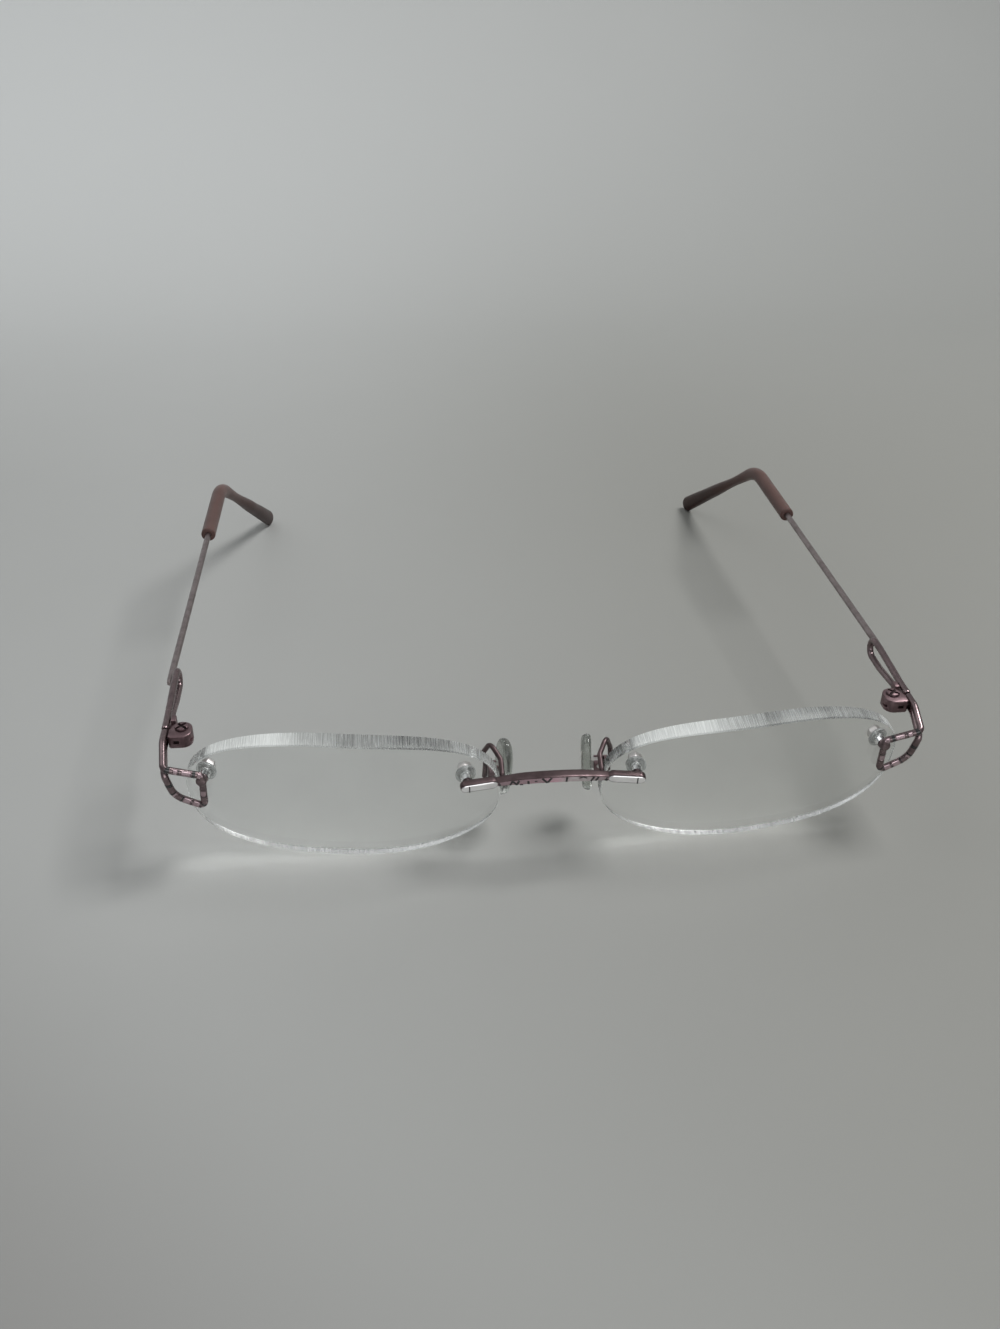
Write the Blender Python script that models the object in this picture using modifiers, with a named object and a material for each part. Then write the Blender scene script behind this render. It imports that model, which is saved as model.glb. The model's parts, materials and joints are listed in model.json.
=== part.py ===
"""Rimless reading glasses, standing open on a table.

Two drilled lenses hang on an arched bridge. Each outer edge carries an end piece
that is one bent wire, a three-barrel hinge, a wire temple and a plastic tip.
Metres, +Z up. The lenses face -Y, the temples run to +Y, and the wearer's left is +X.
Every piece is modelled for the left, and the right one is its mirror image.
"""

import math

import bmesh
import bpy
from mathutils import Matrix, Vector

MM = 0.001

# Lenses
LENS_WIDTH = 50.0 * MM
LENS_HEIGHT = 24.6 * MM
LENS_SQUARENESS = 2.55  # 2 is an ellipse, more is squarer
LENS_CORNER_SWEEP = 0.035  # lifts the outer top corner and drops the inner bottom one
LENS_GAP = 17.0 * MM  # between the two lenses at the nose
LENS_CENTRE_THICKNESS = 3.5 * MM
LENS_FRONT_RADIUS = 88.0 * MM
LENS_BACK_RADIUS = 136.0 * MM  # flatter than the front, so the lens magnifies
FACE_WRAP = math.radians(3.0)  # how far the outer edges swing back
PANTOSCOPIC_ANGLE = math.radians(6.6)  # how far the front leans from square to the temples

# Lens mountings
NASAL_HOLE_INSET = 5.3 * MM  # from the lens's inner end
NASAL_HOLE_HEIGHT = 2.95 * MM  # above the lens's middle
TEMPORAL_HOLE_INSET = 3.1 * MM  # from the lens's outer end
TEMPORAL_HOLE_HEIGHT = 4.2 * MM
STUD_RADIUS = 0.55 * MM
STUD_OVERHANG = 0.25 * MM  # how far a stud shows behind its nut
BOSS_RADIUS = 0.85 * MM  # the round head on the outer studs
BOSS_HEIGHT = 1.3 * MM
BOSS_EDGE = 0.3 * MM
SLEEVE_WALL = 0.25 * MM
FLANGE_RADIUS = 1.65 * MM
FLANGE_THICKNESS = 0.4 * MM
SLEEVE_RECESS = 0.35 * MM  # from the lens's front to the sleeve
WASHER_RADIUS = 1.3 * MM
WASHER_THICKNESS = 0.25 * MM
NUT_RADIUS = 1.2 * MM  # to its corners
NUT_HEIGHT = 1.0 * MM

# Bridge
BRIDGE_RISE = 1.1 * MM  # the middle of the arch above the studs
BRIDGE_BOW = 0.5 * MM  # the middle of the arch in front of its ends
BRIDGE_DEPTH = 1.9 * MM
BRIDGE_HEIGHT = 1.25 * MM
BRIDGE_TWIST = math.radians(3.0)  # turns the arch's front face up
BRIDGE_SLIM_FROM = 1 / 2  # as a share of the way to the neck
BRIDGE_LEVEL_FROM = 2 / 3
BRIDGE_PAD_LENGTH = 6.0 * MM  # the flattened end that lies on the lens
BRIDGE_PAD_REACH = 1.35 * MM  # the part of it beyond the stud
BRIDGE_PAD_DROOP = math.radians(1.0)
BRIDGE_PAD_DEPTH = 1.7 * MM
BRIDGE_PAD_HEIGHT = 1.75 * MM
BRIDGE_NECK = 0.8  # of the arch's height and depth, where it meets the pad
BRIDGE_SHOULDER = 0.6  # of the pad's height, at its inner end
BRIDGE_TIP = 0.4  # of the pad's height, at its outer end
BRIDGE_SQUARENESS = 4.0
BRIDGE_SIDES = 16
BRIDGE_STATIONS = 8

# End pieces, each bent from one wire
FRAME_WIRE_RADIUS = 0.57 * MM
STEM_SPREAD = 1.35 * MM  # between the two runs of wire at the hinge
STEM_LENGTH = 8.0 * MM  # from the front corner to the hinge axis
STEM_RISE = 1.5 * MM
STEM_FLARE = 0.5 * MM
WINDOW_WIDTH = 5.7 * MM  # from the stud to the outer corner
WINDOW_TOP = 1.2 * MM  # the top bar above the stud
WINDOW_SLOPE = 1.8 * MM  # how far the top bar climbs to the corner
WINDOW_DROP = 5.6 * MM  # the lowest bend below the stud
WINDOW_STEP = 0.35 * MM  # how far the upright bar leans out at its foot
WINDOW_BELLY = 0.9 * MM  # the bend of the lower bar in from the corner
WINDOW_BELLY_DROP = 2.9 * MM  # that bend below the stud
WINDOW_BEND = 0.7 * MM
BELLY_BEND = 4.0 * MM
CORNER_BEND = 0.9 * MM

# Hinges
HINGE_RADIUS = 1.7 * MM
HINGE_HEIGHT = 2.3 * MM
HINGE_STEP = 0.3 * MM  # how far the block stands out beyond its barrel, towards the wires
HINGE_TONGUE = 0.8 * MM
HINGE_BLOCK_LENGTH = 2.4 * MM  # from the axis forward
HINGE_ARM_LENGTH = 3.4 * MM  # from the axis back
HINGE_ARM_WIDTH = 0.8 * MM
HINGE_FOOT_START = 2.0 * MM
HINGE_FOOT_HEIGHT = 2.4 * MM
HINGE_EDGE = 0.18 * MM
HINGE_RECESS_WIDTH = 0.9 * MM
HINGE_RECESS_HEIGHT = 0.6 * MM
HINGE_RECESS_OUT = 0.7 * MM  # its middle outward of the axis
HINGE_RECESS_DEPTH = 0.4 * MM
HINGE_SCREW_RADIUS = 0.6 * MM
HINGE_HEAD_RADIUS = 1.1 * MM
HINGE_HEAD_HEIGHT = 0.4 * MM
HINGE_SLOT_WIDTH = 0.3 * MM
HINGE_SLOT_DEPTH = 0.2 * MM
HINGE_SLOT_TURN = math.radians(22.0)  # where the screw came to rest

# Temples
LOOP_LENGTH = 17.4 * MM
LOOP_STRAIGHT = 3.8 * MM
LOOP_SWELL = 12.2 * MM  # where the loop reaches its full opening
LOOP_UP = 1.35 * MM  # the upper run above the hinge's middle
LOOP_DOWN = 1.85 * MM  # the lower run below it
LOOP_BEND = 5.0 * MM
LOOP_ROOT = 1.7 * MM  # between the two runs at the hinge
TEMPLE_WIRE_RADIUS = 0.58 * MM
TEMPLE_WIRE_OVERLAP = 2.4 * MM  # along the loop that it is brazed to
TEMPLE_WIRE_START = 2.0 * MM  # how far it runs straight on behind the loop
TEMPLE_TOE_IN = math.radians(1.0)
TEMPLE_TO_BEND = 93.2 * MM
EAR_LENGTH = 43.0 * MM  # from the bend to the end of the tip
EAR_DROP = math.radians(35.5)
EAR_TURN_IN = math.radians(11.0)
EAR_BEND = 13.0 * MM
TIP_LENGTH = 66.0 * MM
TIP_RADIUS = 1.45 * MM
TIP_MOUTH_RADIUS = 1.2 * MM
TIP_MOUTH_LENGTH = 0.4 * MM
TIP_PADDLE_WIDTH = 3.8 * MM
TIP_PADDLE_THICKNESS = 2.4 * MM
TIP_PADDLE_LENGTH = 22.0 * MM
TIP_NOSE = 1.6 * MM  # the rounding of its end
TIP_NOSE_SHARES = (1.0, 0.62, 0.3, 0.08, 0.0)  # where the rounding has its rings
TIP_BLUNTNESS = 0.06  # 0 would bring the end to a point
TIP_CLOSED_END = 9.0 * MM  # solid plastic beyond the end of the wire
TIP_SIDES = 12
TIP_SPACING = 4.5 * MM

# Nose pads
PAD_LENGTH = 10.5 * MM
PAD_WIDTH = 7.0 * MM
PAD_THICKNESS = 1.8 * MM
PAD_ROUNDING = 0.6 * MM
PAD_ROUNDING_STEPS = 3
PAD_SQUARENESS = 2.3
PAD_FLAT_SIDE = 0.75  # of the half width, on the side towards the lens
PAD_INSET = 0.7 * MM  # from the lens's inner end towards the nose
PAD_DROP = 1.8 * MM  # below the lens's middle
PAD_BACK = 8.9 * MM  # behind the front
PAD_SPLAY = math.radians(8.0)  # turns the pad's face towards the back
PAD_LEAN = math.radians(5.0)  # brings the pads' tops together
PAD_TILT = math.radians(7.0)  # leans the pads' tops back
PAD_TO_BOX = 0.35 * MM  # room for the pad to rock
LUG_BASE_LENGTH = 3.4 * MM
LUG_BASE_WIDTH = 2.4 * MM
LUG_BASE_THICKNESS = 0.5 * MM
LUG_TAB_THICKNESS = 1.0 * MM
LUG_TAB_RADIUS = 0.8 * MM
BOX_CHEEK = 0.5 * MM
BOX_BACK_WALL = 0.5 * MM
BOX_EDGE = 0.12 * MM
PAD_SCREW_RADIUS = 0.4 * MM
PAD_HEAD_RADIUS = 0.7 * MM
PAD_HEAD_HEIGHT = 0.3 * MM
PAD_SLOT_WIDTH = 0.2 * MM
PAD_SLOT_DEPTH = 0.15 * MM
PAD_SLOT_TURN = math.radians(22.0)

# Pad arms, each bent from one wire
PAD_ARM_RADIUS = 0.42 * MM
PAD_ARM_FOOT = 8.05 * MM  # from the middle of the bridge
PAD_ARM_RUN = 4.6 * MM  # how far back the wire goes before it turns up
PAD_ARM_CLIMB = 1.0 * MM
PAD_ARM_TOP = 1.9 * MM  # the top of the loop above its foot
PAD_ARM_TOP_OUT = 1.5 * MM
PAD_ARM_TOP_BACK = 7.6 * MM
PAD_ARM_DROP = 3.2 * MM  # the straight length that comes down behind the box
PAD_ARM_BEND = 1.4 * MM

# Clearances
SEAT_GAP = 0.1 * MM  # between pieces that are brazed, glued or clamped together
RUNNING_GAP = 0.06 * MM  # between pieces that turn on or slide into each other
BUTT_GAP = 0.24 * MM  # between the wire ends that meet at the hinge
TINY = 0.05 * MM  # how far a cutter runs past the face that it opens

# Roundness
LENS_RIM_POINTS = 64
LENS_RINGS = 5
LENS_STEPS = 32
TURNED_STEPS = 16
PLATE_ARC_POINTS = 12
PAD_RIM_POINTS = 28
WIRE_SIDES = 10
THIN_WIRE_SIDES = 8
BEND_STEP = math.radians(15.0)
SMOOTH_ANGLE = math.radians(35.0)
EDGE_ANGLE = math.radians(60.0)  # sharper edges than this are rounded off
BEND_ROOM = 0.49  # the most of a straight length that one bend may take
MERGE = 0.0001 * MM
MOST_TIP = math.radians(20.0)  # either way, when the glasses are stood on the table
TIP_HALVINGS = 40

MIRROR = Matrix.Diagonal((-1.0, 1.0, 1.0, 1.0))
SIDES = ("right", "left")


# Frames and places


def shift(x, y, z):
    """A frame moved along its axes."""
    return Matrix.Translation((x, y, z))


def turn(angle, axis):
    """A frame turned about one of its axes."""
    return Matrix.Rotation(angle, 4, axis)


def frame_along(origin, along, across):
    """A frame with Z along one direction and X as near as can be to another."""
    z_axis = along.normalized()
    y_axis = z_axis.cross(across).normalized()
    x_axis = y_axis.cross(z_axis)
    frame = Matrix((x_axis, y_axis, z_axis)).transposed().to_4x4()
    frame.translation = origin
    return frame


def mirrored(frame):
    """The same frame on the other side of the glasses."""
    return MIRROR @ frame @ MIRROR


def sag(radius, reach):
    """How far a sphere falls away from its vertex at some distance from the axis."""
    return radius - math.sqrt(radius**2 - reach**2)


FRONT = turn(PANTOSCOPIC_ANGLE, "X")
LENS = FRONT @ shift((LENS_GAP + LENS_WIDTH) / 2, 0.0, 0.0) @ turn(FACE_WRAP, "Z")


def stud_frame(hole_x, hole_z):
    """The frame of a stud: it starts on the lens's front, and Z runs back square to the lens."""
    mean_radius = 2 / (1 / LENS_FRONT_RADIUS + 1 / LENS_BACK_RADIUS)
    origin = Vector((hole_x, sag(LENS_FRONT_RADIUS, math.hypot(hole_x, hole_z)), hole_z))
    along = Vector((-hole_x, mean_radius, -hole_z))
    return LENS @ frame_along(origin, along, Vector((1.0, 0.0, 0.0)))


NASAL = stud_frame(NASAL_HOLE_INSET - LENS_WIDTH / 2, NASAL_HOLE_HEIGHT)
TEMPORAL = stud_frame(LENS_WIDTH / 2 - TEMPORAL_HOLE_INSET, TEMPORAL_HOLE_HEIGHT)


def surface_depths(stud, vertex, radius, reach):
    """How deep along a stud a lens surface lies, round a circle about the stud."""
    centre = stud.inverted() @ LENS @ Vector((0.0, vertex + radius, 0.0))
    depths = []
    for k in range(TURNED_STEPS):
        angle = 2 * math.pi * k / TURNED_STEPS
        x = reach * math.cos(angle) - centre.x
        y = reach * math.sin(angle) - centre.y
        depths.append(centre.z - math.sqrt(radius**2 - x**2 - y**2))
    return depths


def flange_seat(stud):
    """Where a bushing's flange sits behind the lens, along its stud."""
    depths = surface_depths(stud, LENS_CENTRE_THICKNESS, LENS_BACK_RADIUS, FLANGE_RADIUS)
    return max(depths) + SEAT_GAP


def washer_seat(stud):
    """Where a washer sits behind its bushing."""
    return flange_seat(stud) + FLANGE_THICKNESS + SEAT_GAP


def nut_seat(stud):
    """Where a nut sits behind its washer."""
    return washer_seat(stud) + WASHER_THICKNESS + SEAT_GAP


def stud_end(stud):
    """Where a stud ends behind its nut."""
    return nut_seat(stud) + NUT_HEIGHT + STUD_OVERHANG


# Meshes


def baked(obj):
    """The object's mesh with its modifiers applied; the object itself goes."""
    graph = bpy.context.evaluated_depsgraph_get()
    mesh = bpy.data.meshes.new_from_object(obj.evaluated_get(graph))
    bpy.data.objects.remove(obj, do_unlink=True)
    return mesh


def tidied(mesh):
    """Welds a mesh's loose caps and turns its faces out."""
    body = bmesh.new()
    body.from_mesh(mesh)
    bmesh.ops.remove_doubles(body, verts=body.verts, dist=MERGE)
    bmesh.ops.recalc_face_normals(body, faces=body.faces)
    body.to_mesh(mesh)
    body.free()
    return mesh


def on_bench(data):
    """An object in the scene to be baked."""
    obj = bpy.data.objects.new("bench", data)
    bpy.context.scene.collection.objects.link(obj)
    return obj


def turned_mesh(profile, steps=TURNED_STEPS, ring=False):
    """A body turned about Z, from (radius, height) points that run down its outer side."""
    body = bmesh.new()
    points = [body.verts.new((radius, 0.0, height)) for radius, height in profile]
    for upper, lower in zip(points, points[1:]):
        body.edges.new((upper, lower))
    if ring:
        body.edges.new((points[-1], points[0]))
    mesh = bpy.data.meshes.new("profile")
    body.to_mesh(mesh)
    body.free()
    obj = on_bench(mesh)
    screw = obj.modifiers.new("turn", "SCREW")
    screw.steps = steps
    screw.render_steps = steps
    screw.use_merge_vertices = True
    screw.merge_threshold = MERGE
    return baked(obj)


def plate_mesh(outline, low, high):
    """A flat plate with the given outline in X and Y, from one height to another."""
    curve = bpy.data.curves.new("outline", "CURVE")
    curve.dimensions = "2D"
    curve.fill_mode = "BOTH"
    curve.extrude = (high - low) / 2
    spline = curve.splines.new("POLY")
    spline.points.add(len(outline) - 1)
    for place, (x, y) in zip(spline.points, outline):
        place.co = (x, y, 0.0, 1.0)
    spline.use_cyclic_u = True
    mesh = tidied(baked(on_bench(curve)))
    mesh.transform(shift(0.0, 0.0, (low + high) / 2))
    return mesh


def block_mesh(low, high):
    """A box between two opposite corners."""
    low = Vector(low)
    high = Vector(high)
    size = high - low
    body = bmesh.new()
    place = Matrix.Translation((low + high) / 2) @ Matrix.Diagonal((*size, 1.0))
    bmesh.ops.create_cube(body, size=1.0, matrix=place)
    mesh = bpy.data.meshes.new("block")
    body.to_mesh(mesh)
    body.free()
    return mesh


def rod_mesh(radius, low, high, steps=TURNED_STEPS):
    """A cylinder about Z between two heights."""
    body = bmesh.new()
    bmesh.ops.create_cone(
        body,
        cap_ends=True,
        segments=steps,
        radius1=radius,
        radius2=radius,
        depth=high - low,
        matrix=shift(0.0, 0.0, (low + high) / 2),
    )
    mesh = bpy.data.meshes.new("rod")
    body.to_mesh(mesh)
    body.free()
    return mesh


def wire_mesh(points, radius, sides):
    """A round wire with flat ends along a path."""
    curve = bpy.data.curves.new("wire", "CURVE")
    curve.dimensions = "3D"
    curve.bevel_depth = radius
    curve.bevel_resolution = sides // 2 - 2
    curve.use_fill_caps = True
    spline = curve.splines.new("POLY")
    spline.points.add(len(points) - 1)
    for place, point in zip(spline.points, points):
        place.co = (*point, 1.0)
    return tidied(baked(on_bench(curve)))


def loft_mesh(rings, open_start=False):
    """A body through rings of points, closed by a face at each end."""
    body = bmesh.new()
    loops = [[body.verts.new(point) for point in ring] for ring in rings]
    for near, far in zip(loops, loops[1:]):
        for k in range(len(near)):
            body.faces.new((near[k - 1], near[k], far[k], far[k - 1]))
    if not open_start:
        body.faces.new(loops[0])
    body.faces.new(loops[-1])
    bmesh.ops.recalc_face_normals(body, faces=body.faces)
    mesh = bpy.data.meshes.new("loft")
    body.to_mesh(mesh)
    body.free()
    return mesh


# Outlines, paths and sections


def squared(angle, squareness):
    """The point of a unit superellipse at an angle, as a pair."""
    cosine = math.cos(angle)
    sine = math.sin(angle)
    power = 2 / squareness
    x = math.copysign(abs(cosine) ** power, cosine)
    y = math.copysign(abs(sine) ** power, sine)
    return x, y


def arc_points(radius, start, end, count):
    """Points of an arc about the origin, both ends included."""
    points = []
    for k in range(count + 1):
        angle = start + (end - start) * k / count
        points.append((radius * math.cos(angle), radius * math.sin(angle)))
    return points


def rounded_path(corners):
    """A path through pairs of a point and a bend radius, with an arc at each inner point."""
    points = [corners[0][0]]
    for before, (corner, radius), after in zip(corners, corners[1:], corners[2:]):
        into = corner - before[0]
        out = after[0] - corner
        room = BEND_ROOM * min(into.length, out.length)
        into.normalize()
        out.normalize()
        bend = into.angle(out)
        setback = min(radius * math.tan(bend / 2), room)
        radius = setback / math.tan(bend / 2)
        inward = (out - into * math.cos(bend)).normalized()
        start = corner - into * setback
        steps = max(1, math.ceil(bend / BEND_STEP))
        for k in range(steps + 1):
            angle = bend * k / steps
            along = into * radius * math.sin(angle)
            points.append(start + along + inward * radius * (1 - math.cos(angle)))
    points.append(corners[-1][0])
    return points


def subdivided(points, spacing):
    """The same path with points added, so that none lie further apart than the spacing."""
    finer = [points[0]]
    for near, far in zip(points, points[1:]):
        pieces = math.ceil((far - near).length / spacing)
        for k in range(1, pieces + 1):
            finer.append(near.lerp(far, k / pieces))
    return finer


def path_directions(points):
    """The direction of a path at each of its points."""
    directions = []
    for k, point in enumerate(points):
        before = points[max(k - 1, 0)]
        after = points[min(k + 1, len(points) - 1)]
        into = (point - before).normalized()
        out = (after - point).normalized()
        directions.append((into + out).normalized())
    return directions


def ring_points(centre, across, up, half_width, half_height, squareness, count):
    """A closed section about a centre, as a list of points."""
    ring = []
    for k in range(count):
        x, y = squared(2 * math.pi * (k + 0.5) / count, squareness)
        ring.append(centre + across * x * half_width + up * y * half_height)
    return ring


def ease(amount):
    """A smooth step from 0 to 1."""
    amount = min(max(amount, 0.0), 1.0)
    return amount * amount * (3 - 2 * amount)


# The model and its materials


class Model:
    """The scene's collections, and the root that stands the glasses on the table."""

    def __init__(self, name):
        for item in list(bpy.data.objects):
            bpy.data.objects.remove(item, do_unlink=True)
        self.parts = bpy.data.collections.new(name)
        self.cutters = bpy.data.collections.new(name + " cutters")
        for collection in (self.parts, self.cutters):
            bpy.context.scene.collection.children.link(collection)
        self.root = bpy.data.objects.new(name, None)
        self.parts.objects.link(self.root)

    def place(self, name, mesh, frame, side, collection):
        """An object from a mesh that is modelled for the left side."""
        mesh = mesh.copy()
        if side == "right":
            mesh.transform(MIRROR)
            mesh.flip_normals()
            frame = mirrored(frame)
        obj = bpy.data.objects.new(name, mesh)
        collection.objects.link(obj)
        obj.parent = self.root
        obj.matrix_basis = frame
        return obj

    def add(self, name, mesh, frame, material, side="left"):
        """A piece of the glasses."""
        obj = self.place(name, mesh, frame, side, self.parts)
        obj.data.materials.append(material)
        obj.data.shade_smooth()
        obj.data.set_sharp_from_angle(angle=SMOOTH_ANGLE)
        return obj

    def combine(self, target, operation, mesh, frame, side="left"):
        """A Boolean on a piece, with its tool kept as a guide that isn't rendered."""
        name = f"{target.name}_tool_{len(target.modifiers)}"
        tool = self.place(name, mesh, frame, side, self.cutters)
        tool.hide_render = True
        tool.display_type = "WIRE"
        step = target.modifiers.new(name, "BOOLEAN")
        step.operation = operation
        step.solver = "EXACT"
        step.object = tool


def make_material(name, colour, roughness, metallic=0.0, transmission=0.0):
    """A Principled material in one colour."""
    material = bpy.data.materials.new(name)
    material.use_nodes = True
    shader = material.node_tree.nodes["Principled BSDF"]
    shader.inputs["Base Color"].default_value = (*colour, 1.0)
    shader.inputs["Roughness"].default_value = roughness
    shader.inputs["Metallic"].default_value = metallic
    shader.inputs["Transmission Weight"].default_value = transmission
    material.diffuse_color = (*colour, 1.0)
    return material


def lens_material():
    """Clear lens plastic."""
    return make_material("clear lens", (0.95, 0.96, 0.96), 0.02, transmission=1.0)


def bushing_material():
    """Clear, slightly milky plastic."""
    return make_material("clear bushing", (0.82, 0.85, 0.84), 0.1, transmission=0.9)


def pad_material():
    """Soft clear plastic."""
    return make_material("clear pad", (0.80, 0.82, 0.79), 0.25, transmission=0.85)


def bridge_material():
    """Polished mauve metal."""
    return make_material("polished mauve metal", (0.42, 0.31, 0.34), 0.22, metallic=1.0)


def wire_material():
    """Brushed mauve metal."""
    return make_material("mauve metal wire", (0.24, 0.16, 0.17), 0.38, metallic=1.0)


def hinge_material():
    """Cast mauve metal, a little rougher than the wires."""
    return make_material("mauve hinge metal", (0.26, 0.17, 0.18), 0.45, metallic=1.0)


def screw_material():
    """Bright steel."""
    return make_material("screw steel", (0.55, 0.52, 0.52), 0.25, metallic=1.0)


def tip_material():
    """Brown plastic."""
    return make_material("brown tip plastic", (0.13, 0.075, 0.07), 0.3)


# Lenses


def lens_outline():
    """The lens's rim in its own X and Z, wider than an ellipse and a little skewed."""
    points = []
    for k in range(LENS_RIM_POINTS):
        angle = 2 * math.pi * (k + 0.5) / LENS_RIM_POINTS
        x, z = squared(angle, 2)
        polar = math.atan2(z * LENS_HEIGHT, x * LENS_WIDTH)
        wide = abs(2 * math.cos(polar) / LENS_WIDTH) ** LENS_SQUARENESS
        high = abs(2 * math.sin(polar) / LENS_HEIGHT) ** LENS_SQUARENESS
        reach = (wide + high) ** (-1 / LENS_SQUARENESS)
        reach *= 1 + LENS_CORNER_SWEEP * math.sin(2 * polar)
        points.append((reach * math.cos(polar), reach * math.sin(polar)))
    return points


def lens_blank_mesh(reach):
    """The round blank that a lens is cut from, turned about Z, which points back."""
    profile = []
    for k in range(LENS_RINGS + 1):
        radius = reach * k / LENS_RINGS
        profile.append((radius, LENS_CENTRE_THICKNESS + sag(LENS_BACK_RADIUS, radius)))
    for k in range(LENS_RINGS, -1, -1):
        radius = reach * k / LENS_RINGS
        profile.append((radius, sag(LENS_FRONT_RADIUS, radius)))
    return turned_mesh(profile, LENS_STEPS)


def add_lens(model, material, side):
    """A lens: a round blank, edged to its outline and drilled for two bushings."""
    outline = lens_outline()
    reach = max(math.hypot(x, z) for x, z in outline) + BOSS_RADIUS
    optical = LENS @ frame_along(Vector(), Vector((0.0, 1.0, 0.0)), Vector((1.0, 0.0, 0.0)))
    lens = model.add(f"lens_{side}", lens_blank_mesh(reach), optical, material, side)
    deep = LENS_CENTRE_THICKNESS + sag(LENS_FRONT_RADIUS, reach)
    downward = [(x, -z) for x, z in outline]
    edge = plate_mesh(downward, -TINY, deep + sag(LENS_BACK_RADIUS, reach))
    model.combine(lens, "INTERSECT", edge, optical, side)
    drill = rod_mesh(hole_radius(), -deep, 2 * deep)
    for stud in (NASAL, TEMPORAL):
        model.combine(lens, "DIFFERENCE", drill, stud, side)


def sleeve_radius():
    """The outer radius of a bushing's sleeve."""
    return STUD_RADIUS + RUNNING_GAP + SLEEVE_WALL


def hole_radius():
    """The radius of the holes in the lenses."""
    return sleeve_radius() + RUNNING_GAP


# Lens mountings


def bushing_mesh(stud):
    """A clear sleeve in the lens's hole, with a flange behind the lens."""
    seat = flange_seat(stud)
    bore = STUD_RADIUS + RUNNING_GAP
    front = SLEEVE_RECESS
    profile = [
        (FLANGE_RADIUS, seat + FLANGE_THICKNESS),
        (FLANGE_RADIUS, seat),
        (sleeve_radius(), seat),
        (sleeve_radius(), front),
        (bore, front),
        (bore, seat + FLANGE_THICKNESS),
    ]
    return turned_mesh(profile, ring=True)


def washer_mesh(stud):
    """A flat metal washer behind the bushing."""
    seat = washer_seat(stud)
    bore = STUD_RADIUS + RUNNING_GAP
    profile = [
        (WASHER_RADIUS, seat + WASHER_THICKNESS),
        (WASHER_RADIUS, seat),
        (bore, seat),
        (bore, seat + WASHER_THICKNESS),
    ]
    return turned_mesh(profile, ring=True)


def nut_mesh(stud):
    """A six-sided nut with a bored middle."""
    seat = nut_seat(stud)
    obj = on_bench(rod_mesh(NUT_RADIUS, seat, seat + NUT_HEIGHT, steps=6))
    bore_radius = STUD_RADIUS + RUNNING_GAP
    bore = on_bench(rod_mesh(bore_radius, seat - TINY, seat + NUT_HEIGHT + TINY))
    step = obj.modifiers.new("bore", "BOOLEAN")
    step.solver = "EXACT"
    step.object = bore
    bpy.context.view_layer.update()
    mesh = baked(obj)
    bpy.data.objects.remove(bore, do_unlink=True)
    return mesh


def add_mountings(model, bushing, steel, side):
    """The bushing, washer and nut on each of a lens's two studs."""
    for place, stud in (("nasal", NASAL), ("temporal", TEMPORAL)):
        model.add(f"lens_bushing_{place}_{side}", bushing_mesh(stud), stud, bushing, side)
        model.add(f"rear_washer_{place}_{side}", washer_mesh(stud), stud, steel, side)
        model.add(f"lens_nut_{place}_{side}", nut_mesh(stud), stud, steel, side)


# Bridge


def bridge_pad_gap():
    """How far the pad's back lies in front of the lens at the stud."""
    depths = surface_depths(NASAL, 0.0, LENS_FRONT_RADIUS, BRIDGE_PAD_REACH)
    return SEAT_GAP - min(0.0, *depths)


def bridge_places():
    """The middle of the arch, the neck and the stud's place on the pad, and the pad's direction."""
    stud = FRONT.inverted() @ NASAL
    across, down, back = (stud.col[k].to_3d() for k in range(3))
    along = across * math.cos(BRIDGE_PAD_DROOP) + down * math.sin(BRIDGE_PAD_DROOP)
    middle = stud.translation - back * (bridge_pad_gap() + BRIDGE_PAD_DEPTH / 2)
    neck = middle - along * (BRIDGE_PAD_LENGTH - BRIDGE_PAD_REACH)
    top = Vector((0.0, neck.y - BRIDGE_BOW, middle.z + BRIDGE_RISE))
    return top, neck, middle, along


def bridge_section(centre, along, depth, height, twist):
    """One rounded section of the bridge, square to its path."""
    back = Vector((0.0, 0.0, 1.0)).cross(along).normalized()
    up = along.cross(back)
    spin = Matrix.Rotation(-twist, 3, along)
    return ring_points(
        centre, spin @ back, spin @ up, depth / 2, height / 2, BRIDGE_SQUARENESS, BRIDGE_SIDES
    )


def bridge_half_mesh():
    """The left half of the bridge, from the middle of the arch to the end of its pad."""
    top, neck, middle, along = bridge_places()
    span = (neck - top).length
    start = Vector((span, 0.0, 0.0))
    end = along * span
    rings = []
    for k in range(BRIDGE_STATIONS):
        t = k / BRIDGE_STATIONS
        centre = (
            top * (2 * t**3 - 3 * t**2 + 1)
            + start * (t**3 - 2 * t**2 + t)
            + neck * (3 * t**2 - 2 * t**3)
            + end * (t**3 - t**2)
        )
        slope = (
            (neck - top) * (6 * t - 6 * t**2)
            + start * (3 * t**2 - 4 * t + 1)
            + end * (3 * t**2 - 2 * t)
        )
        slim = 1 - (1 - BRIDGE_NECK) * ease((t - BRIDGE_SLIM_FROM) / (1 - BRIDGE_SLIM_FROM))
        level = ease((t - BRIDGE_LEVEL_FROM) / (1 - BRIDGE_LEVEL_FROM))
        twist = BRIDGE_TWIST * (1 - level)
        section = bridge_section(
            centre, slope.normalized(), BRIDGE_DEPTH * slim, BRIDGE_HEIGHT * slim, twist
        )
        rings.append(section)
    tip = BRIDGE_PAD_LENGTH
    rounding = BRIDGE_PAD_HEIGHT / 2
    stations = (
        (0.0, BRIDGE_SHOULDER),
        (rounding, 1.0),
        (tip - rounding, 1.0),
        (tip, BRIDGE_TIP),
    )
    for distance, share in stations:
        centre = neck + along * distance
        height = BRIDGE_PAD_HEIGHT * share
        depth = BRIDGE_PAD_DEPTH * (1 + share) / 2
        rings.append(bridge_section(centre, along, depth, height, 0.0))
    return loft_mesh(rings, open_start=True)


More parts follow.
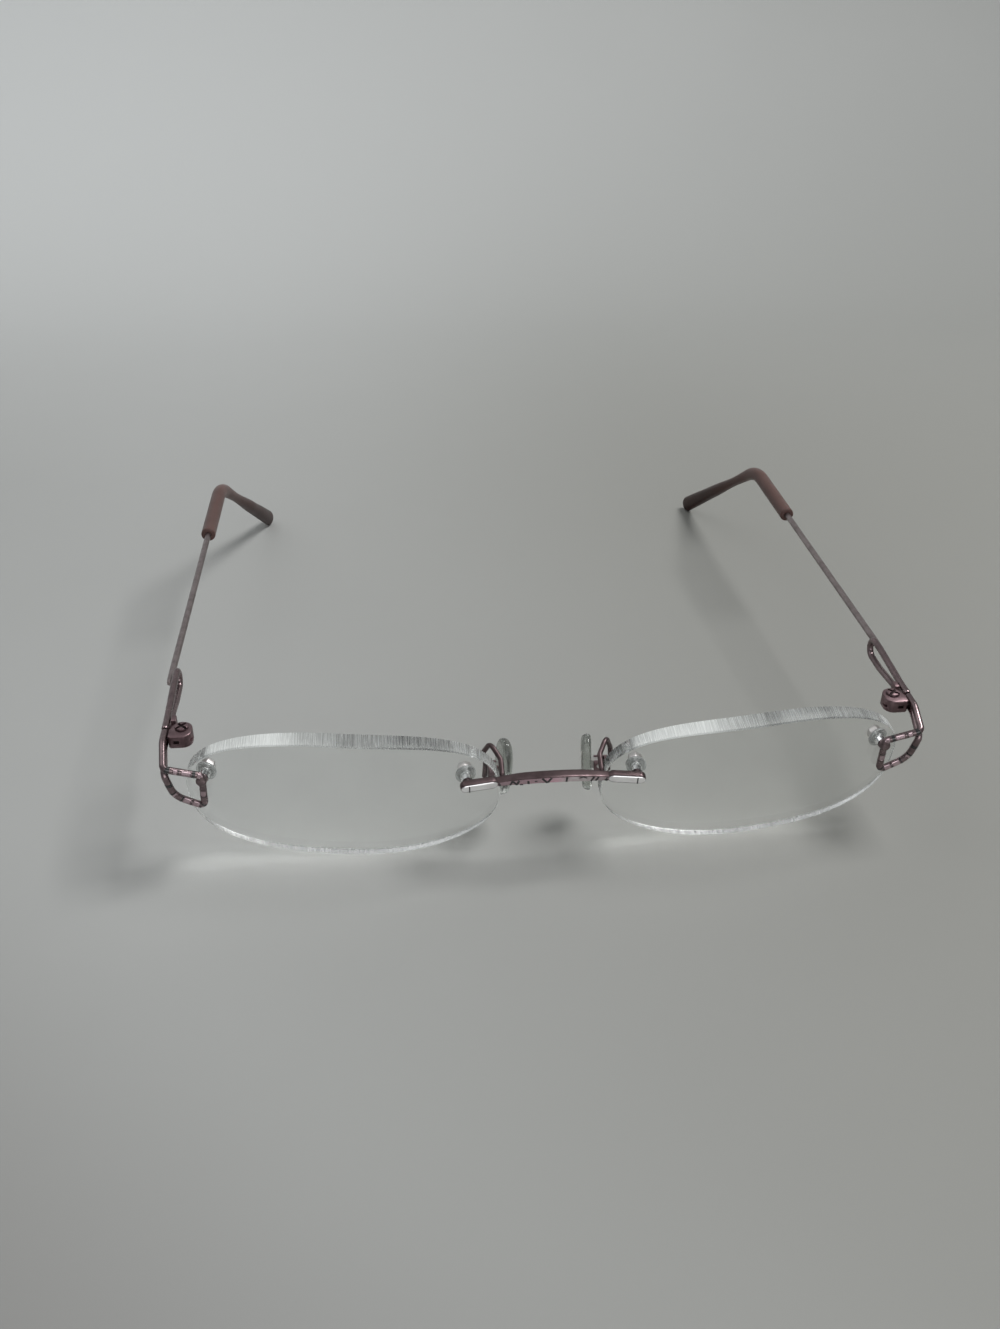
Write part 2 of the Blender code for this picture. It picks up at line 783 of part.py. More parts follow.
def add_bridge(model, material):
    """The bridge, mirrored about its middle, with its two studs."""
    bridge = model.add("bridge", bridge_half_mesh(), FRONT, material)
    both = bridge.modifiers.new("both halves", "MIRROR")
    both.use_clip = True
    both.merge_threshold = MERGE
    stud = rod_mesh(STUD_RADIUS, -bridge_pad_gap() - BRIDGE_PAD_DEPTH / 2, stud_end(NASAL))
    for side in SIDES:
        model.combine(bridge, "UNION", stud, NASAL, side)


# Places of the end pieces and hinges


def window_depth():
    """How far back the end piece's wire lies in front of the lens, in the front's frame."""
    stud = FRONT.inverted() @ TEMPORAL
    clear = (FRAME_WIRE_RADIUS + SEAT_GAP) / stud.col[2].y
    return stud.translation.y - sag(LENS_FRONT_RADIUS, TEMPORAL_HOLE_HEIGHT) - clear


def window_point(out, up):
    """A point of the end piece's wire in the front's frame, from its stud."""
    stud = FRONT.inverted() @ TEMPORAL
    return Vector((stud.translation.x + out, window_depth(), stud.translation.z + up))


def corner_height():
    """The top of the end piece's outer corner above its stud."""
    return WINDOW_TOP + WINDOW_SLOPE


def block_reach():
    """From the hinge axis out to the face that the wires are brazed to."""
    return HINGE_RADIUS + HINGE_STEP


def wire_offset():
    """From the hinge axis out to the wires."""
    return block_reach() + SEAT_GAP + FRAME_WIRE_RADIUS


def pivot_frame():
    """The hinge axis, with Y along the temple and Z along the axis."""
    corner = FRONT @ window_point(WINDOW_WIDTH, corner_height() - STEM_SPREAD / 2)
    x = corner.x + STEM_FLARE - wire_offset()
    return shift(x, corner.y + STEM_LENGTH, corner.z + STEM_RISE)


PIVOT = pivot_frame()


# End pieces


def end_piece_path():
    """The end piece's wire in the front's frame, from the hinge round the window and back."""
    hinge = FRONT.inverted() @ PIVOT
    ends = []
    for up in (STEM_SPREAD / 2, -STEM_SPREAD / 2):
        tail = hinge @ Vector((wire_offset(), -BUTT_GAP / 2, up))
        knee = hinge @ Vector((wire_offset(), -HINGE_BLOCK_LENGTH - FRAME_WIRE_RADIUS, up))
        ends.append((tail, knee))
    (upper_tail, upper_knee), (lower_tail, lower_knee) = ends
    corners = [
        (upper_tail, 0.0),
        (upper_knee, BELLY_BEND),
        (window_point(WINDOW_WIDTH, corner_height()), CORNER_BEND),
        (window_point(0.0, WINDOW_TOP), WINDOW_BEND),
        (window_point(WINDOW_STEP, -WINDOW_DROP), WINDOW_BEND),
        (window_point(WINDOW_WIDTH - WINDOW_BELLY, -WINDOW_BELLY_DROP), BELLY_BEND),
        (window_point(WINDOW_WIDTH, corner_height() - STEM_SPREAD), CORNER_BEND),
        (lower_knee, BELLY_BEND),
        (lower_tail, 0.0),
    ]
    return rounded_path(corners)


def boss_mesh():
    """The stud of an end piece, with the round boss that joins it to the wire."""
    front = -SEAT_GAP
    crown = front - BOSS_HEIGHT
    edge = BOSS_EDGE
    profile = [
        (0.0, stud_end(TEMPORAL)),
        (STUD_RADIUS, stud_end(TEMPORAL)),
        (STUD_RADIUS, front),
        (BOSS_RADIUS, front),
        (BOSS_RADIUS, crown + edge),
        (BOSS_RADIUS - edge, crown),
        (0.0, crown),
    ]
    return turned_mesh(profile)


def add_end_piece(model, material, side):
    """An end piece: one wire bent into a window, with its stud."""
    wire = wire_mesh(end_piece_path(), FRAME_WIRE_RADIUS, WIRE_SIDES)
    piece = model.add(f"end_piece_{side}", wire, FRONT, material, side)
    model.combine(piece, "UNION", boss_mesh(), TEMPORAL, side)


# Hinges


def knuckle_outline():
    """The hinge block seen from above: a round barrel that grows into a block in front."""
    reach = block_reach()
    edge = HINGE_STEP
    front = -HINGE_BLOCK_LENGTH
    corners = [
        (-HINGE_RADIUS, front + edge),
        (edge - HINGE_RADIUS, front),
        (reach - edge, front),
        (reach, front + edge),
        (reach, -edge),
    ]
    return corners + arc_points(HINGE_RADIUS, 0.0, math.pi, PLATE_ARC_POINTS)


def add_knuckles(model, material, side):
    """The fixed half of a hinge: two barrels with a gap for the tongue, in front of a block."""
    block = plate_mesh(knuckle_outline(), -HINGE_HEIGHT / 2, HINGE_HEIGHT / 2)
    piece = model.add(f"hinge_knuckles_{side}", block, PIVOT, material, side)
    edges = piece.modifiers.new("edges", "BEVEL")
    edges.width = HINGE_EDGE
    edges.limit_method = "ANGLE"
    edges.angle_limit = EDGE_ANGLE
    half_gap = HINGE_TONGUE / 2 + RUNNING_GAP
    reach = block_reach() + TINY
    turning = HINGE_RADIUS + RUNNING_GAP
    mouth = block_mesh((-reach, -turning, -half_gap), (reach, turning, half_gap))
    model.combine(piece, "DIFFERENCE", mouth, PIVOT, side)
    bore = rod_mesh(HINGE_SCREW_RADIUS + RUNNING_GAP, -HINGE_HEIGHT, HINGE_HEIGHT)
    model.combine(piece, "DIFFERENCE", bore, PIVOT, side)
    front = -HINGE_BLOCK_LENGTH
    inner = HINGE_RECESS_OUT - HINGE_RECESS_WIDTH / 2
    outer = HINGE_RECESS_OUT + HINGE_RECESS_WIDTH / 2
    recess = block_mesh(
        (inner, front - TINY, -HINGE_RECESS_HEIGHT / 2),
        (outer, front + HINGE_RECESS_DEPTH, HINGE_RECESS_HEIGHT / 2),
    )
    model.combine(piece, "DIFFERENCE", recess, PIVOT, side)


def tongue_outline():
    """The hinge tongue seen from above: a round barrel with an arm back along the wires."""
    outer = block_reach()
    inner = outer - HINGE_ARM_WIDTH
    meet = math.acos(inner / HINGE_RADIUS)
    arm = [
        (outer, BUTT_GAP / 2),
        (outer, HINGE_ARM_LENGTH),
        (inner, HINGE_ARM_LENGTH),
    ]
    return arm + arc_points(HINGE_RADIUS, meet, 2 * math.pi, 2 * PLATE_ARC_POINTS)


def add_tongue(model, material, side):
    """The moving half of a hinge: one barrel, with a taller foot behind the two wires."""
    plate = plate_mesh(tongue_outline(), -HINGE_TONGUE / 2, HINGE_TONGUE / 2)
    piece = model.add(f"hinge_tongue_{side}", plate, PIVOT, material, side)
    outer = block_reach()
    foot = block_mesh(
        (outer - HINGE_ARM_WIDTH, HINGE_FOOT_START, -HINGE_FOOT_HEIGHT / 2),
        (outer, HINGE_ARM_LENGTH + HINGE_EDGE, HINGE_FOOT_HEIGHT / 2),
    )
    model.combine(piece, "UNION", foot, PIVOT, side)
    bore = rod_mesh(HINGE_SCREW_RADIUS + RUNNING_GAP, -HINGE_HEIGHT, HINGE_HEIGHT)
    model.combine(piece, "DIFFERENCE", bore, PIVOT, side)


def slotted_screw_mesh(shank, end, seat, head, height, slot_width, slot_depth, turns):
    """A screw about Z with a flat head, and a slot across it for each of the turns."""
    top = seat + height
    edge = slot_depth / 2
    profile = [
        (0.0, top),
        (head - edge, top),
        (head, top - edge),
        (head, seat),
        (shank, seat),
        (shank, end),
        (0.0, end),
    ]
    screw = on_bench(turned_mesh(profile))
    tools = []
    half = slot_width / 2
    for angle in turns:
        low = (-head, -half, top - slot_depth)
        tool = on_bench(block_mesh(low, (head, half, top + TINY)))
        tool.rotation_euler.z = angle
        step = screw.modifiers.new("slot", "BOOLEAN")
        step.solver = "EXACT"
        step.object = tool
        tools.append(tool)
    bpy.context.view_layer.update()
    mesh = baked(screw)
    for tool in tools:
        bpy.data.objects.remove(tool, do_unlink=True)
    return mesh


def add_hinge_screw(model, material, side):
    """A hinge screw, with crossed slots in its head."""
    screw = slotted_screw_mesh(
        HINGE_SCREW_RADIUS,
        -HINGE_HEIGHT / 2 - RUNNING_GAP,
        HINGE_HEIGHT / 2 + RUNNING_GAP,
        HINGE_HEAD_RADIUS,
        HINGE_HEAD_HEIGHT,
        HINGE_SLOT_WIDTH,
        HINGE_SLOT_DEPTH,
        (HINGE_SLOT_TURN, HINGE_SLOT_TURN + math.pi / 2),
    )
    model.add(f"hinge_screw_{side}", screw, PIVOT, material, side)


# Temples, all in the frame of the hinge axis


def loop_path():
    """The temple's loop: out from the hinge along the top, and back along the bottom."""
    out = wire_offset()
    half = LOOP_ROOT / 2
    end_bend = (LOOP_UP + LOOP_DOWN) / 2
    corners = [
        (Vector((out, BUTT_GAP / 2, half)), 0.0),
        (Vector((out, LOOP_STRAIGHT, half)), LOOP_BEND),
        (Vector((out, LOOP_SWELL, LOOP_UP)), LOOP_BEND),
        (Vector((out, LOOP_LENGTH, LOOP_UP)), end_bend),
        (Vector((out, LOOP_LENGTH, -LOOP_DOWN)), end_bend),
        (Vector((out, LOOP_SWELL, -LOOP_DOWN)), LOOP_BEND),
        (Vector((out, LOOP_STRAIGHT, -half)), LOOP_BEND),
        (Vector((out, BUTT_GAP / 2, -half)), 0.0),
    ]
    return rounded_path(corners)


def add_loop(model, material, side):
    """A temple's loop of wire behind the hinge."""
    wire = wire_mesh(loop_path(), FRAME_WIRE_RADIUS, WIRE_SIDES)
    model.add(f"temple_loop_{side}", wire, PIVOT, material, side)


def temple_line():
    """The temple wire's corners: its front end, the end of its straight start, and the bend."""
    x = wire_offset() + FRAME_WIRE_RADIUS + SEAT_GAP + TEMPLE_WIRE_RADIUS
    z = (LOOP_UP - LOOP_DOWN) / 2
    behind = LOOP_LENGTH + TEMPLE_WIRE_START
    bend_x = x - (TEMPLE_TO_BEND - behind) * math.tan(TEMPLE_TOE_IN)
    front = Vector((x, LOOP_LENGTH - TEMPLE_WIRE_OVERLAP, z))
    return front, Vector((x, behind, z)), Vector((bend_x, TEMPLE_TO_BEND, z))


def ear_direction():
    """The direction of the temple beyond its bend: down and a little inward."""
    inward = math.cos(EAR_DROP) * math.sin(EAR_TURN_IN)
    ahead = math.cos(EAR_DROP) * math.cos(EAR_TURN_IN)
    return Vector((-inward, ahead, -math.sin(EAR_DROP)))


def add_temple_wire(model, material, side):
    """The straight temple wire, bent down at the ear inside its tip."""
    front, behind, bend = temple_line()
    end = bend + ear_direction() * (EAR_LENGTH - TIP_CLOSED_END)
    path = rounded_path([(front, 0.0), (behind, EAR_BEND), (bend, EAR_BEND), (end, 0.0)])
    wire = wire_mesh(path, TEMPLE_WIRE_RADIUS, THIN_WIRE_SIDES)
    model.add(f"temple_wire_{side}", wire, PIVOT, material, side)


def tip_rings():
    """The rings of a tip: up its bore from the blind end, over the mouth, and along its outside."""
    behind, bend = temple_line()[1:]
    ahead = (bend - behind).normalized()
    mouth = bend - ahead * (TIP_LENGTH - EAR_LENGTH)
    end = bend + ear_direction() * EAR_LENGTH
    first = mouth + ahead * TIP_MOUTH_LENGTH
    path = rounded_path([(first, 0.0), (bend, EAR_BEND), (end, 0.0)])
    path = [mouth] + subdivided(path, TIP_SPACING)
    last = path.pop()
    heading = ear_direction()
    for share in TIP_NOSE_SHARES:
        if share * TIP_NOSE < TIP_SPACING:
            path.append(last - heading * TIP_NOSE * share)
    directions = path_directions(path)
    bore = TEMPLE_WIRE_RADIUS + SEAT_GAP
    inside = []
    outside = []
    for centre, along in zip(path, directions):
        across = along.cross(Vector((0.0, 0.0, 1.0))).normalized()
        up = across.cross(along)
        left = (last - centre).length
        beyond_bend = (centre - bend).dot(heading) > 0
        swell = ease(1 - left / TIP_PADDLE_LENGTH) if beyond_bend else 0.0
        radius = TIP_MOUTH_RADIUS if centre == mouth else TIP_RADIUS
        width = radius + (TIP_PADDLE_WIDTH / 2 - TIP_RADIUS) * swell
        thickness = radius + (TIP_PADDLE_THICKNESS / 2 - TIP_RADIUS) * swell
        if left < TIP_NOSE:
            around = math.sqrt(max(TIP_BLUNTNESS, 1 - (1 - left / TIP_NOSE) ** 2))
            width *= around
            thickness *= around
        outside.append(ring_points(centre, across, up, thickness, width, 2, TIP_SIDES))
        if left > TIP_CLOSED_END:
            inside.append(ring_points(centre, across, up, bore, bore, 2, TIP_SIDES))
    blind = last - heading * (TIP_CLOSED_END - SEAT_GAP)
    across = heading.cross(Vector((0.0, 0.0, 1.0))).normalized()
    inside.append(ring_points(blind, across, across.cross(heading), bore, bore, 2, TIP_SIDES))
    return inside[::-1] + outside


def add_tip(model, material, side):
    """A plastic tip: a bored sleeve over the wire that ends in a flat paddle."""
    model.add(f"temple_tip_{side}", loft_mesh(tip_rings()), PIVOT, material, side)


# Nose pads


def box_half():
    """Half of a pad box's length and height."""
    return LUG_TAB_RADIUS + SEAT_GAP


def pad_back():
    """From the rocking axis to the back of the pad."""
    return box_half() + PAD_TO_BOX


def rocking_frame():
    """The screw of a nose pad: X points away from the nose, Y along the screw, Z up the pad."""
    place = FRONT @ shift(LENS_GAP / 2 - PAD_INSET, PAD_BACK, -PAD_DROP)
    aim = turn(-PAD_SPLAY, "Z") @ turn(-PAD_LEAN, "Y") @ turn(-PAD_TILT, "X")
    return place @ aim @ shift(pad_back(), 0.0, 0.0)


ROCKING = rocking_frame()
SCREW_LINE = frame_along(Vector(), Vector((0.0, 1.0, 0.0)), Vector((1.0, 0.0, 0.0)))
PAD_FACING = frame_along(Vector(), Vector((1.0, 0.0, 0.0)), Vector((0.0, 1.0, 0.0)))


def pad_outline():
    """The pad's rim across and along it, flatter on the side towards the lens."""
    points = []
    for k in range(PAD_RIM_POINTS):
        x, y = squared(2 * math.pi * (k + 0.5) / PAD_RIM_POINTS, PAD_SQUARENESS)
        if x < 0:
            x *= PAD_FLAT_SIDE
        points.append((x * PAD_WIDTH / 2, y * PAD_LENGTH / 2))
    return points


def add_nose_pad(model, material, side):
    """A soft pad with a pocket in its back for the lug."""
    back = pad_back()
    body = plate_mesh(pad_outline(), -back - PAD_THICKNESS, -back)
    body.transform(PAD_FACING)
    pad = model.add(f"nose_pad_{side}", body, ROCKING, material, side)
    edges = pad.modifiers.new("soft rim", "BEVEL")
    edges.width = PAD_ROUNDING
    edges.segments = PAD_ROUNDING_STEPS
    edges.limit_method = "ANGLE"
    edges.angle_limit = EDGE_ANGLE
    half_width = LUG_BASE_WIDTH / 2 + SEAT_GAP
    half_length = LUG_BASE_LENGTH / 2 + SEAT_GAP
    depth = LUG_BASE_THICKNESS + SEAT_GAP
    pocket = block_mesh(
        (-back - depth, -half_width, -half_length),
        (-back + TINY, half_width, half_length),
    )
    model.combine(pad, "DIFFERENCE", pocket, ROCKING, side)


def add_lug(model, material, side):
    """The metal lug in a pad: a base in the pocket and a bored tab that takes the screw."""
    half_tab = LUG_TAB_THICKNESS / 2
    back = pad_back()
    radius = LUG_TAB_RADIUS
    outline = arc_points(radius, -math.pi / 2, math.pi / 2, PLATE_ARC_POINTS)
    outline += [(-back - LUG_BASE_THICKNESS / 2, radius), (-back - LUG_BASE_THICKNESS / 2, -radius)]
    tab = plate_mesh(outline, -half_tab, half_tab)
    tab.transform(SCREW_LINE)
    lug = model.add(f"pad_lug_{side}", tab, ROCKING, material, side)
    base = block_mesh(
        (-back - LUG_BASE_THICKNESS, -LUG_BASE_WIDTH / 2, -LUG_BASE_LENGTH / 2),
        (-back, LUG_BASE_WIDTH / 2, LUG_BASE_LENGTH / 2),
    )
    model.combine(lug, "UNION", base, ROCKING, side)
    bore = rod_mesh(PAD_SCREW_RADIUS + RUNNING_GAP, -LUG_TAB_THICKNESS, LUG_TAB_THICKNESS)
    model.combine(lug, "DIFFERENCE", bore, ROCKING @ SCREW_LINE, side)


def box_half_width():
    """Half of a pad box's width along its screw."""
    return LUG_TAB_THICKNESS / 2 + RUNNING_GAP + BOX_CHEEK


def add_pad_box(model, material, side):
    """A pad box: two cheeks and a back wall round the lug's tab."""
    half = box_half()
    wide = box_half_width()
    body = block_mesh((-half, -wide, -half), (half + BOX_BACK_WALL, wide, half))
    box = model.add(f"pad_box_{side}", body, ROCKING, material, side)
    edges = box.modifiers.new("edges", "BEVEL")
    edges.width = BOX_EDGE
    slot = wide - BOX_CHEEK
    mouth = block_mesh((-half - TINY, -slot, -half - TINY), (half, slot, half + TINY))
    model.combine(box, "DIFFERENCE", mouth, ROCKING, side)
    bore = rod_mesh(PAD_SCREW_RADIUS + RUNNING_GAP, -2 * wide, 2 * wide)
    model.combine(box, "DIFFERENCE", bore, ROCKING @ SCREW_LINE, side)


def add_pad_screw(model, material, side):
    """A nose pad screw, with one slot in its head, behind the box."""
    wide = box_half_width()
    screw = slotted_screw_mesh(
        PAD_SCREW_RADIUS,
        -wide,
        wide + RUNNING_GAP,
        PAD_HEAD_RADIUS,
        PAD_HEAD_HEIGHT,
        PAD_SLOT_WIDTH,
        PAD_SLOT_DEPTH,
        (PAD_SLOT_TURN,),
    )
    model.add(f"pad_screw_{side}", screw, ROCKING @ SCREW_LINE, material, side)


def pad_arm_path():
    """The pad arm's wire in the front's frame, from the bridge up, over and down to the box."""
    top, neck, middle, along = bridge_places()
    share = PAD_ARM_FOOT / neck.x
    foot_z = top.z + (neck.z - top.z) * share**2
    foot_y = top.y + (neck.y - top.y) * share + BRIDGE_DEPTH / 2 + SEAT_GAP
    rocking = FRONT.inverted() @ ROCKING
    beside = box_half() + BOX_BACK_WALL + SEAT_GAP + PAD_ARM_RADIUS
    high = rocking @ Vector((beside, 0.0, PAD_ARM_DROP))
    low = rocking @ Vector((beside, 0.0, -box_half()))
    corners = [
        (Vector((PAD_ARM_FOOT, foot_y, foot_z)), 0.0),
        (Vector((PAD_ARM_FOOT, PAD_ARM_RUN, foot_z + PAD_ARM_CLIMB)), PAD_ARM_BEND),
        (
            Vector((PAD_ARM_FOOT + PAD_ARM_TOP_OUT, PAD_ARM_TOP_BACK, foot_z + PAD_ARM_TOP)),
            PAD_ARM_BEND,
        ),
        (high, PAD_ARM_BEND),
        (low, 0.0),
    ]
    return rounded_path(corners)


def add_pad_arm(model, material, side):
    """A pad arm: a thin wire that loops back from the bridge to the pad's box."""
    wire = wire_mesh(pad_arm_path(), PAD_ARM_RADIUS, THIN_WIRE_SIDES)
    model.add(f"pad_arm_{side}", wire, FRONT, material, side)


# Standing on the table


def world_points(model, names):
    """The points of some pieces as they stand."""
    graph = bpy.context.evaluated_depsgraph_get()
    points = []
    for obj in model.parts.objects:
        if obj.type == "MESH" and obj.name.startswith(names):
            solid = obj.evaluated_get(graph)
            points += [obj.matrix_world @ vertex.co for vertex in solid.data.vertices]
    return points


def stand_on_table(model):
    """Tips the glasses until the lenses and the tips touch the table, and centres them."""
    bpy.context.view_layer.update()
    lenses = world_points(model, ("lens_right", "lens_left"))
    tips = world_points(model, ("temple_tip",))
    low = -MOST_TIP
    high = MOST_TIP
    for _ in range(TIP_HALVINGS):
        angle = (low + high) / 2
        rise = (math.sin(angle), math.cos(angle))
        lens_foot = min(point.y * rise[0] + point.z * rise[1] for point in lenses)
        tip_foot = min(point.y * rise[0] + point.z * rise[1] for point in tips)
        if tip_foot < lens_foot:
            low = angle
        else:
            high = angle
    model.root.rotation_euler.x = angle
    bpy.context.view_layer.update()
    points = world_points(model, ("",))
    middle = (min(p.y for p in points) + max(p.y for p in points)) / 2
    model.root.location = (0.0, -middle, -min(p.z for p in points))
    bpy.context.view_layer.update()


def report(model):
    """Prints the joints and the overall size."""
    root = model.root.matrix_world
    for name, frame, axis in (
        ("temple_fold_left", PIVOT, 2),
        ("temple_fold_right", mirrored(PIVOT), 2),
        ("pad_rock_left", ROCKING, 1),
        ("pad_rock_right", mirrored(ROCKING), 1),
    ):
        world = root @ frame
        place = [round(value, 6) for value in world.translation]
        line = [round(value, 6) for value in world.col[axis].to_3d()]
        print(name, "at", place, "axis", line)
    points = world_points(model, ("",))
    for axis in range(3):
        values = [point[axis] for point in points]
        print("xyz"[axis], round(min(values) / MM, 3), round(max(values) / MM, 3), "mm")


def build():
    """Builds every piece and stands the glasses on the table."""
    model = Model("reading glasses")
    lens = lens_material()
    bushing = bushing_material()
    wire = wire_material()
    hinge = hinge_material()
    steel = screw_material()
    pad = pad_material()
    tip = tip_material()
    add_bridge(model, bridge_material())
    for side in SIDES:
        add_lens(model, lens, side)
        add_mountings(model, bushing, steel, side)
        add_end_piece(model, wire, side)
        add_knuckles(model, hinge, side)
        add_tongue(model, hinge, side)
        add_hinge_screw(model, steel, side)
        add_loop(model, wire, side)
        add_temple_wire(model, wire, side)
        add_tip(model, tip, side)
        add_pad_arm(model, wire, side)
        add_pad_box(model, hinge, side)
        add_pad_screw(model, steel, side)
        add_lug(model, steel, side)
        add_nose_pad(model, pad, side)
    stand_on_table(model)
    report(model)


build()
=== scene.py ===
# %% [markdown]
# # Rimless reading glasses
# The solids of these glasses are already made and packed, each one a named piece on a named body.
# This lesson dresses them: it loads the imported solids, builds finer pieces where the plain ones
# show their facets, and gives everything a finish made from nodes.
# Working over a fixed frame keeps every size and joint as it was measured.

# %% Load the solids
import json
import math

import bmesh
import bpy
from mathutils import Matrix, Vector


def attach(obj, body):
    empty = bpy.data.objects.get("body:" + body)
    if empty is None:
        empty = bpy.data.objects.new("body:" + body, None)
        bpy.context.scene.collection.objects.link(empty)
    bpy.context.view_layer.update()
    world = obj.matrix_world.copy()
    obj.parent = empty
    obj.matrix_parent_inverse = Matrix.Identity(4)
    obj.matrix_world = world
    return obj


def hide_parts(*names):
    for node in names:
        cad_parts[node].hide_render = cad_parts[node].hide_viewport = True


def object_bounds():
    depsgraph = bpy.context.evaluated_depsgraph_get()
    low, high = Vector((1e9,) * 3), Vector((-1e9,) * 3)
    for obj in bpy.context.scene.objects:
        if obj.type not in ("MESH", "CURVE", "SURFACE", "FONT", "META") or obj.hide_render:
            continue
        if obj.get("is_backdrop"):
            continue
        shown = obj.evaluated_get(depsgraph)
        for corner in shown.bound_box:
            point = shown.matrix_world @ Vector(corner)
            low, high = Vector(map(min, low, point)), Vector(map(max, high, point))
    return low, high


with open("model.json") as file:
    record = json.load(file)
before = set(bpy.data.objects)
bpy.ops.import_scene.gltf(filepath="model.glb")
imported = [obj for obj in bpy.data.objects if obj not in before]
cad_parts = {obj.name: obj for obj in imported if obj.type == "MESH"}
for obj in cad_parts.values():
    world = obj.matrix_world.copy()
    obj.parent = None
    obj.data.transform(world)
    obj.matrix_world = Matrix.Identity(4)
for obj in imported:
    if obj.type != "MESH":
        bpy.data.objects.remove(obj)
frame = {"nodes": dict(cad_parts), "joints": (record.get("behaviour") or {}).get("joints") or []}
solid_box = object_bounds()
MM = 0.001
UP = Vector((0.0, 0.0, 1.0))
SIDES = ("right", "left")

# %% [markdown]
# ## The camera
# A camera is found from a photograph by matching points of the object with points of the picture.
# The place, the heading and the focal length below come from such a match.
# The focal length is in pixels of the picture, so one line turns it into millimetres on the sensor.

# %% Set the camera
PICTURE_HEIGHT = 1329  # pixels, the picture's long side
FOCAL_PIXELS = 1218.7
CAMERA_PLACE = Vector((-24.57, -224.68, 131.27)) * MM
CAMERA_YAW = math.radians(5.81)  # towards +X
CAMERA_PITCH = math.radians(30.95)  # down
CAMERA_ROLL = math.radians(0.44)


def aim_camera():
    """The camera's axes from its yaw, pitch and roll."""
    ahead = Vector((math.sin(CAMERA_YAW), math.cos(CAMERA_YAW), 0.0))
    look = ahead * math.cos(CAMERA_PITCH) - UP * math.sin(CAMERA_PITCH)
    right = look.cross(UP).normalized()
    up = right.cross(look)
    roll = Matrix.Rotation(CAMERA_ROLL, 3, -look)
    axes = Matrix((roll @ right, roll @ up, -look)).transposed().to_4x4()
    axes.translation = CAMERA_PLACE
    return axes


camera_data = bpy.data.cameras.new("camera")
camera_data.sensor_width = 36.0
camera_data.lens = FOCAL_PIXELS * camera_data.sensor_width / PICTURE_HEIGHT
camera_data.clip_start = 0.01
camera = bpy.data.objects.new("camera", camera_data)
bpy.context.scene.collection.objects.link(camera)
camera.matrix_world = aim_camera()
bpy.context.scene.camera = camera
print("lens of", round(camera_data.lens, 2), "mm")

# %% [markdown]
# ## Places
# Each piece is modelled once, for the wearer's left, in a frame of its own, and the right one is
# its mirror image. The frames hang on each other as the real pieces do: the front leans, each lens
# wraps a little, and a stud stands square to its lens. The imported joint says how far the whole
# thing is tipped to stand on the table, so the frames start from it.

# %% Frames
MIRROR = Matrix.Diagonal((-1.0, 1.0, 1.0, 1.0))
X_AXIS = Vector((1.0, 0.0, 0.0))
Y_AXIS = Vector((0.0, 1.0, 0.0))


def shift(x, y, z):
    """A frame moved along its axes."""
    return Matrix.Translation((x, y, z))


def turn(angle, axis):
    """A frame turned about one of its axes."""
    return Matrix.Rotation(angle, 4, axis)


def frame_along(origin, along, across):
    """A frame with Z along one direction and X as near as can be to another."""
    z_axis = along.normalized()
    y_axis = z_axis.cross(across).normalized()
    x_axis = y_axis.cross(z_axis)
    made = Matrix((x_axis, y_axis, z_axis)).transposed().to_4x4()
    made.translation = origin
    return made


def sag(radius, reach):
    """How far a sphere falls away from its vertex at some distance from the axis."""
    return radius - math.sqrt(radius**2 - reach**2)


# %% Sizes of the lenses and the places of their studs
LENS_WIDTH = 50.0 * MM
LENS_HEIGHT = 24.6 * MM
LENS_SQUARENESS = 2.55
LENS_CORNER_SWEEP = 0.035
LENS_GAP = 17.0 * MM
LENS_THICKNESS = 3.5 * MM
LENS_FRONT_RADIUS = 88.0 * MM
LENS_BACK_RADIUS = 136.0 * MM
FACE_WRAP = math.radians(3.0)
PANTOSCOPIC_ANGLE = math.radians(6.6)
NASAL_HOLE = (5.3 * MM - LENS_WIDTH / 2, 2.95 * MM)  # across and up from the lens's middle
TEMPORAL_HOLE = (LENS_WIDTH / 2 - 3.1 * MM, 4.2 * MM)
STUD_RADIUS = 0.55 * MM
SLEEVE_WALL = 0.25 * MM
FLANGE_RADIUS = 1.65 * MM
SEAT_GAP = 0.1 * MM  # between pieces that are brazed, glued or clamped
RUNNING_GAP = 0.06 * MM  # between a pin and its hole

FRONT = turn(PANTOSCOPIC_ANGLE, "X")
LENS = FRONT @ shift((LENS_GAP + LENS_WIDTH) / 2, 0.0, 0.0) @ turn(FACE_WRAP, "Z")


def stud_frame(hole):
    """The frame of a stud: it starts on the lens's front, and Z runs back square to the lens."""
    x, z = hole
    mean_radius = 2 / (1 / LENS_FRONT_RADIUS + 1 / LENS_BACK_RADIUS)
    origin = Vector((x, sag(LENS_FRONT_RADIUS, math.hypot(x, z)), z))
    return LENS @ frame_along(origin, Vector((-x, mean_radius, -z)), X_AXIS)


NASAL = stud_frame(NASAL_HOLE)
TEMPORAL = stud_frame(TEMPORAL_HOLE)
STUDS = {"nasal": NASAL, "temporal": TEMPORAL}

# %% Sizes of the end pieces, and how the glasses stand
WIRE_RADIUS = 0.57 * MM
STEM_SPREAD = 1.35 * MM
STEM_LENGTH = 8.0 * MM
STEM_RISE = 1.5 * MM
STEM_FLARE = 0.5 * MM
WINDOW_WIDTH = 5.7 * MM
WINDOW_TOP = 1.2 * MM
WINDOW_SLOPE = 1.8 * MM
WINDOW_DROP = 5.6 * MM
WINDOW_STEP = 0.35 * MM
WINDOW_BELLY = 0.9 * MM
WINDOW_BELLY_DROP = 2.9 * MM
HINGE_RADIUS = 1.7 * MM
HINGE_STEP = 0.3 * MM
BLOCK_REACH = HINGE_RADIUS + HINGE_STEP
WIRE_OUT = BLOCK_REACH + SEAT_GAP + WIRE_RADIUS
CORNER_HEIGHT = WINDOW_TOP + WINDOW_SLOPE


